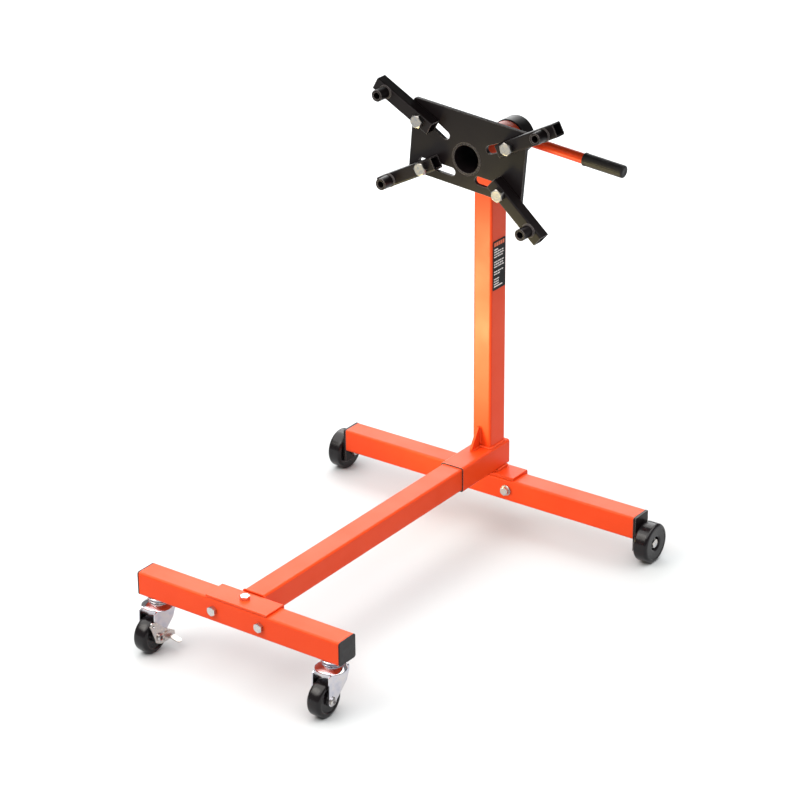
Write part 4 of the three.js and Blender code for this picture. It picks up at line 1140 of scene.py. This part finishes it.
armStock = {"size": 25.0, "wall": 2.5, "radius": 3.2, "inner": 26.0, "outer": 108.5, "stubAt": 82.5,
            "stub": 11.0, "stubBore": 6.5, "stubLength": 27.0, "bead": 1.7}
arm = armStock
for spot in ("upper_left", "lower_left", "upper_right", "lower_right"):
    title = "".join(word.title() for word in spot.split("_"))
    pivot = Vector(jointOf[f"arm_pivot_{spot}"]["pos_m"])
    corners = [Vector(corner) for corner in openingOf[f"engine_bolt_way_{spot}"]]
    bore = (corners[0] + corners[1]) / 2                    # centre of the stub tube
    angle = atan2(bore.z - pivot.z, bore.x - pivot.x)
    # local X runs out along the arm, local Y stays the stand's Y
    place = Matrix.Translation((pivot.x, 0, pivot.z)) @ Matrix.Rotation(-angle, 4, "Y")
    back = plateLow.y - 0.3 * mm
    front = back - arm["size"] * mm
    half = (arm["inner"] + arm["outer"]) / 2
    centre = (arm["outer"] - arm["inner"]) / 2
    bm = bmesh.new()
    middleAxis = place @ along("x", (centre * mm, (front + back) / 2, 0))
    skin(bm, tubeRings(arm["size"], arm["size"], arm["wall"], arm["radius"], -half, half, middleAxis),
         loop=True)
    stubPlace = place @ along("-y", (arm["stubAt"] * mm, front + 1.5 * mm, 0))
    reach = arm["stubLength"] + 1.5
    lathe(bm, [(arm["stubBore"], 0), (arm["stub"], 0), (arm["stub"], reach - 0.9),
               (arm["stub"] - 0.9, reach), (arm["stubBore"] + 0.8, reach), (arm["stubBore"], reach - 0.8)],
          stubPlace, 56, loop=True)
    ring = [place @ Vector((arm["stubAt"] * mm + (arm["stub"] + 0.4) * mm * cos(2 * pi * k / 56),
                            front - 0.1 * mm, (arm["stub"] + 0.4) * mm * sin(2 * pi * k / 56)))
            for k in range(56)]
    weldBead(bm, ring, arm["bead"], closed=True, pitch=2.2)
    finish(bm, f"arm{title}", blackCoat, f"arm_body_{spot}", [f"arm_{spot}"])

    low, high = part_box(f"arm_bolt_{spot}")
    seat = low.y + m14["head"] * mm
    bm = bmesh.new()
    boltTurn = 0.35 + pivot.x * 9
    hexHead(bm, m14["flats"], m14["head"], Matrix.Translation((pivot.x, 0, pivot.z)) @
            along("-y", (0, seat, 0)), boltTurn)
    threadedShank(bm, m14["radius"], (high.y - seat) / mm, along("y", (pivot.x, seat, pivot.z)))
    finish(bm, f"armBolt{title}", dullZinc, f"clamp_{spot}", [f"arm_bolt_{spot}"])
    low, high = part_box(f"arm_nut_{spot}")
    bm = bmesh.new()
    hexNut(bm, m14["flats"], m14["nut"], m14["radius"] + 0.1, along("y", (pivot.x, low.y, pivot.z)), 0.2)
    finish(bm, f"armNut{title}", dullZinc, f"clamp_{spot}", [f"arm_nut_{spot}"])
print("arms built")


# floor, light and camera

studio = {"floorSize": 40.0, "floor": "#b4b7b9", "world": "#ffffff", "worldStrength": 0.25,
          "skyLight": 6.3, "skyAngle": 100.0, "skyColour": "#fffdfa"}
bm = bmesh.new()
bmesh.ops.create_grid(bm, x_segments=8, y_segments=8, size=studio["floorSize"] / 2)
floorMesh = bpy.data.meshes.new("studioFloor")
bm.to_mesh(floorMesh)
bm.free()
floor = bpy.data.objects.new("studioFloor", floorMesh)
bpy.context.scene.collection.objects.link(floor)
paper = startMaterial("backdropPaper", {"Base Color": linear(studio["floor"]), "Roughness": 0.9,
                                        "Specular IOR Level": 0.2})[0]
floorMesh.materials.append(paper)

world = bpy.data.worlds.new("softStudio")
world.use_nodes = True
world.node_tree.nodes["Background"].inputs["Color"].default_value = linear(studio["world"])
world.node_tree.nodes["Background"].inputs["Strength"].default_value = studio["worldStrength"]
bpy.context.scene.world = world

sky = bpy.data.lights.new("overheadSoftLight", "SUN")       # wide silk straight above
sky.energy = studio["skyLight"]
sky.angle = radians(studio["skyAngle"])
sky.color = linear(studio["skyColour"])[:3]
skyLamp = bpy.data.objects.new("overheadSoftLight", sky)
skyLamp.location = (0, 0, 3)
bpy.context.scene.collection.objects.link(skyLamp)

softBoxes = {
    "keyFrontLeft": {"place": (-1.1, -1.6, 1.9), "target": (0, 0.1, 0.35), "size": (1.5, 1.5),
                     "power": 30.0, "colour": "#fffaf2"},
    "postStrip": {"place": (-0.3, -0.12, 0.2), "target": (0, 0.33, 0.42), "size": (0.16, 0.3),
                  "power": 2.3, "colour": "#ffeea6", "spread": 90.0},
    "backSheet": {"place": (-1.6, 2.3, 1.5), "target": (0, 0, 0.2), "size": (3.0, 1.6),
                  "power": 58.0, "colour": "#ffffff"}}
for name, box in softBoxes.items():
    light = bpy.data.lights.new(name, "AREA")
    light.shape = "RECTANGLE"
    light.size, light.size_y = box["size"]
    light.energy = box["power"]
    light.color = linear(box["colour"])[:3]
    light.spread = radians(box.get("spread", 180.0))
    lamp = bpy.data.objects.new(name, light)
    lamp.location = box["place"]
    aim = Vector(box["target"]) - Vector(box["place"])
    lamp.rotation_euler = aim.to_track_quat("-Z", "Y").to_euler()
    lamp.visible_camera = False
    bpy.context.scene.collection.objects.link(lamp)

# dark card over the head, which keeps the overhead light off the handle
flagCard = {"place": (0.06, 0.42, 0.98), "size": (0.62, 0.5), "colour": "#101010"}
bm = bmesh.new()
bmesh.ops.create_grid(bm, x_segments=1, y_segments=1, size=0.5)
bmesh.ops.scale(bm, vec=(*flagCard["size"], 1.0), verts=bm.verts)
flagMesh = bpy.data.meshes.new("flagCard")
bm.to_mesh(flagMesh)
bm.free()
flagMesh.materials.append(startMaterial("blackCard", {"Base Color": linear(flagCard["colour"]),
                                                      "Roughness": 0.9})[0])
flag = bpy.data.objects.new("flagCard", flagMesh)
flag.location = flagCard["place"]
flag.visible_camera = False
bpy.context.scene.collection.objects.link(flag)

view = {"azimuth": 35.82, "elevation": 24.74, "distance": 4.94303, "target": (0.0, 0.0712, 0.34682),
        "roll": -0.45, "lens": 124.4, "sensor": 36.0}
az, el, roll = radians(view["azimuth"]), radians(view["elevation"]), radians(view["roll"])
back = Vector((sin(az) * cos(el), -cos(az) * cos(el), sin(el)))
right = Vector((cos(az), sin(az), 0))
up = back.cross(right)
right, up = right * cos(roll) + up * sin(roll), up * cos(roll) - right * sin(roll)
camera = bpy.data.objects.new("camera", bpy.data.cameras.new("camera"))
camera.data.lens = view["lens"]
camera.data.sensor_width = view["sensor"]
camera.data.clip_end = 100.0
pose = Matrix((right, up, back)).transposed().to_4x4()
pose.translation = Vector(view["target"]) + back * view["distance"]
camera.matrix_world = pose
bpy.context.scene.collection.objects.link(camera)
bpy.context.scene.camera = camera
bpy.context.scene.view_settings.view_transform = "Standard"
bpy.context.scene.view_settings.look = "None"
print("studio ready")
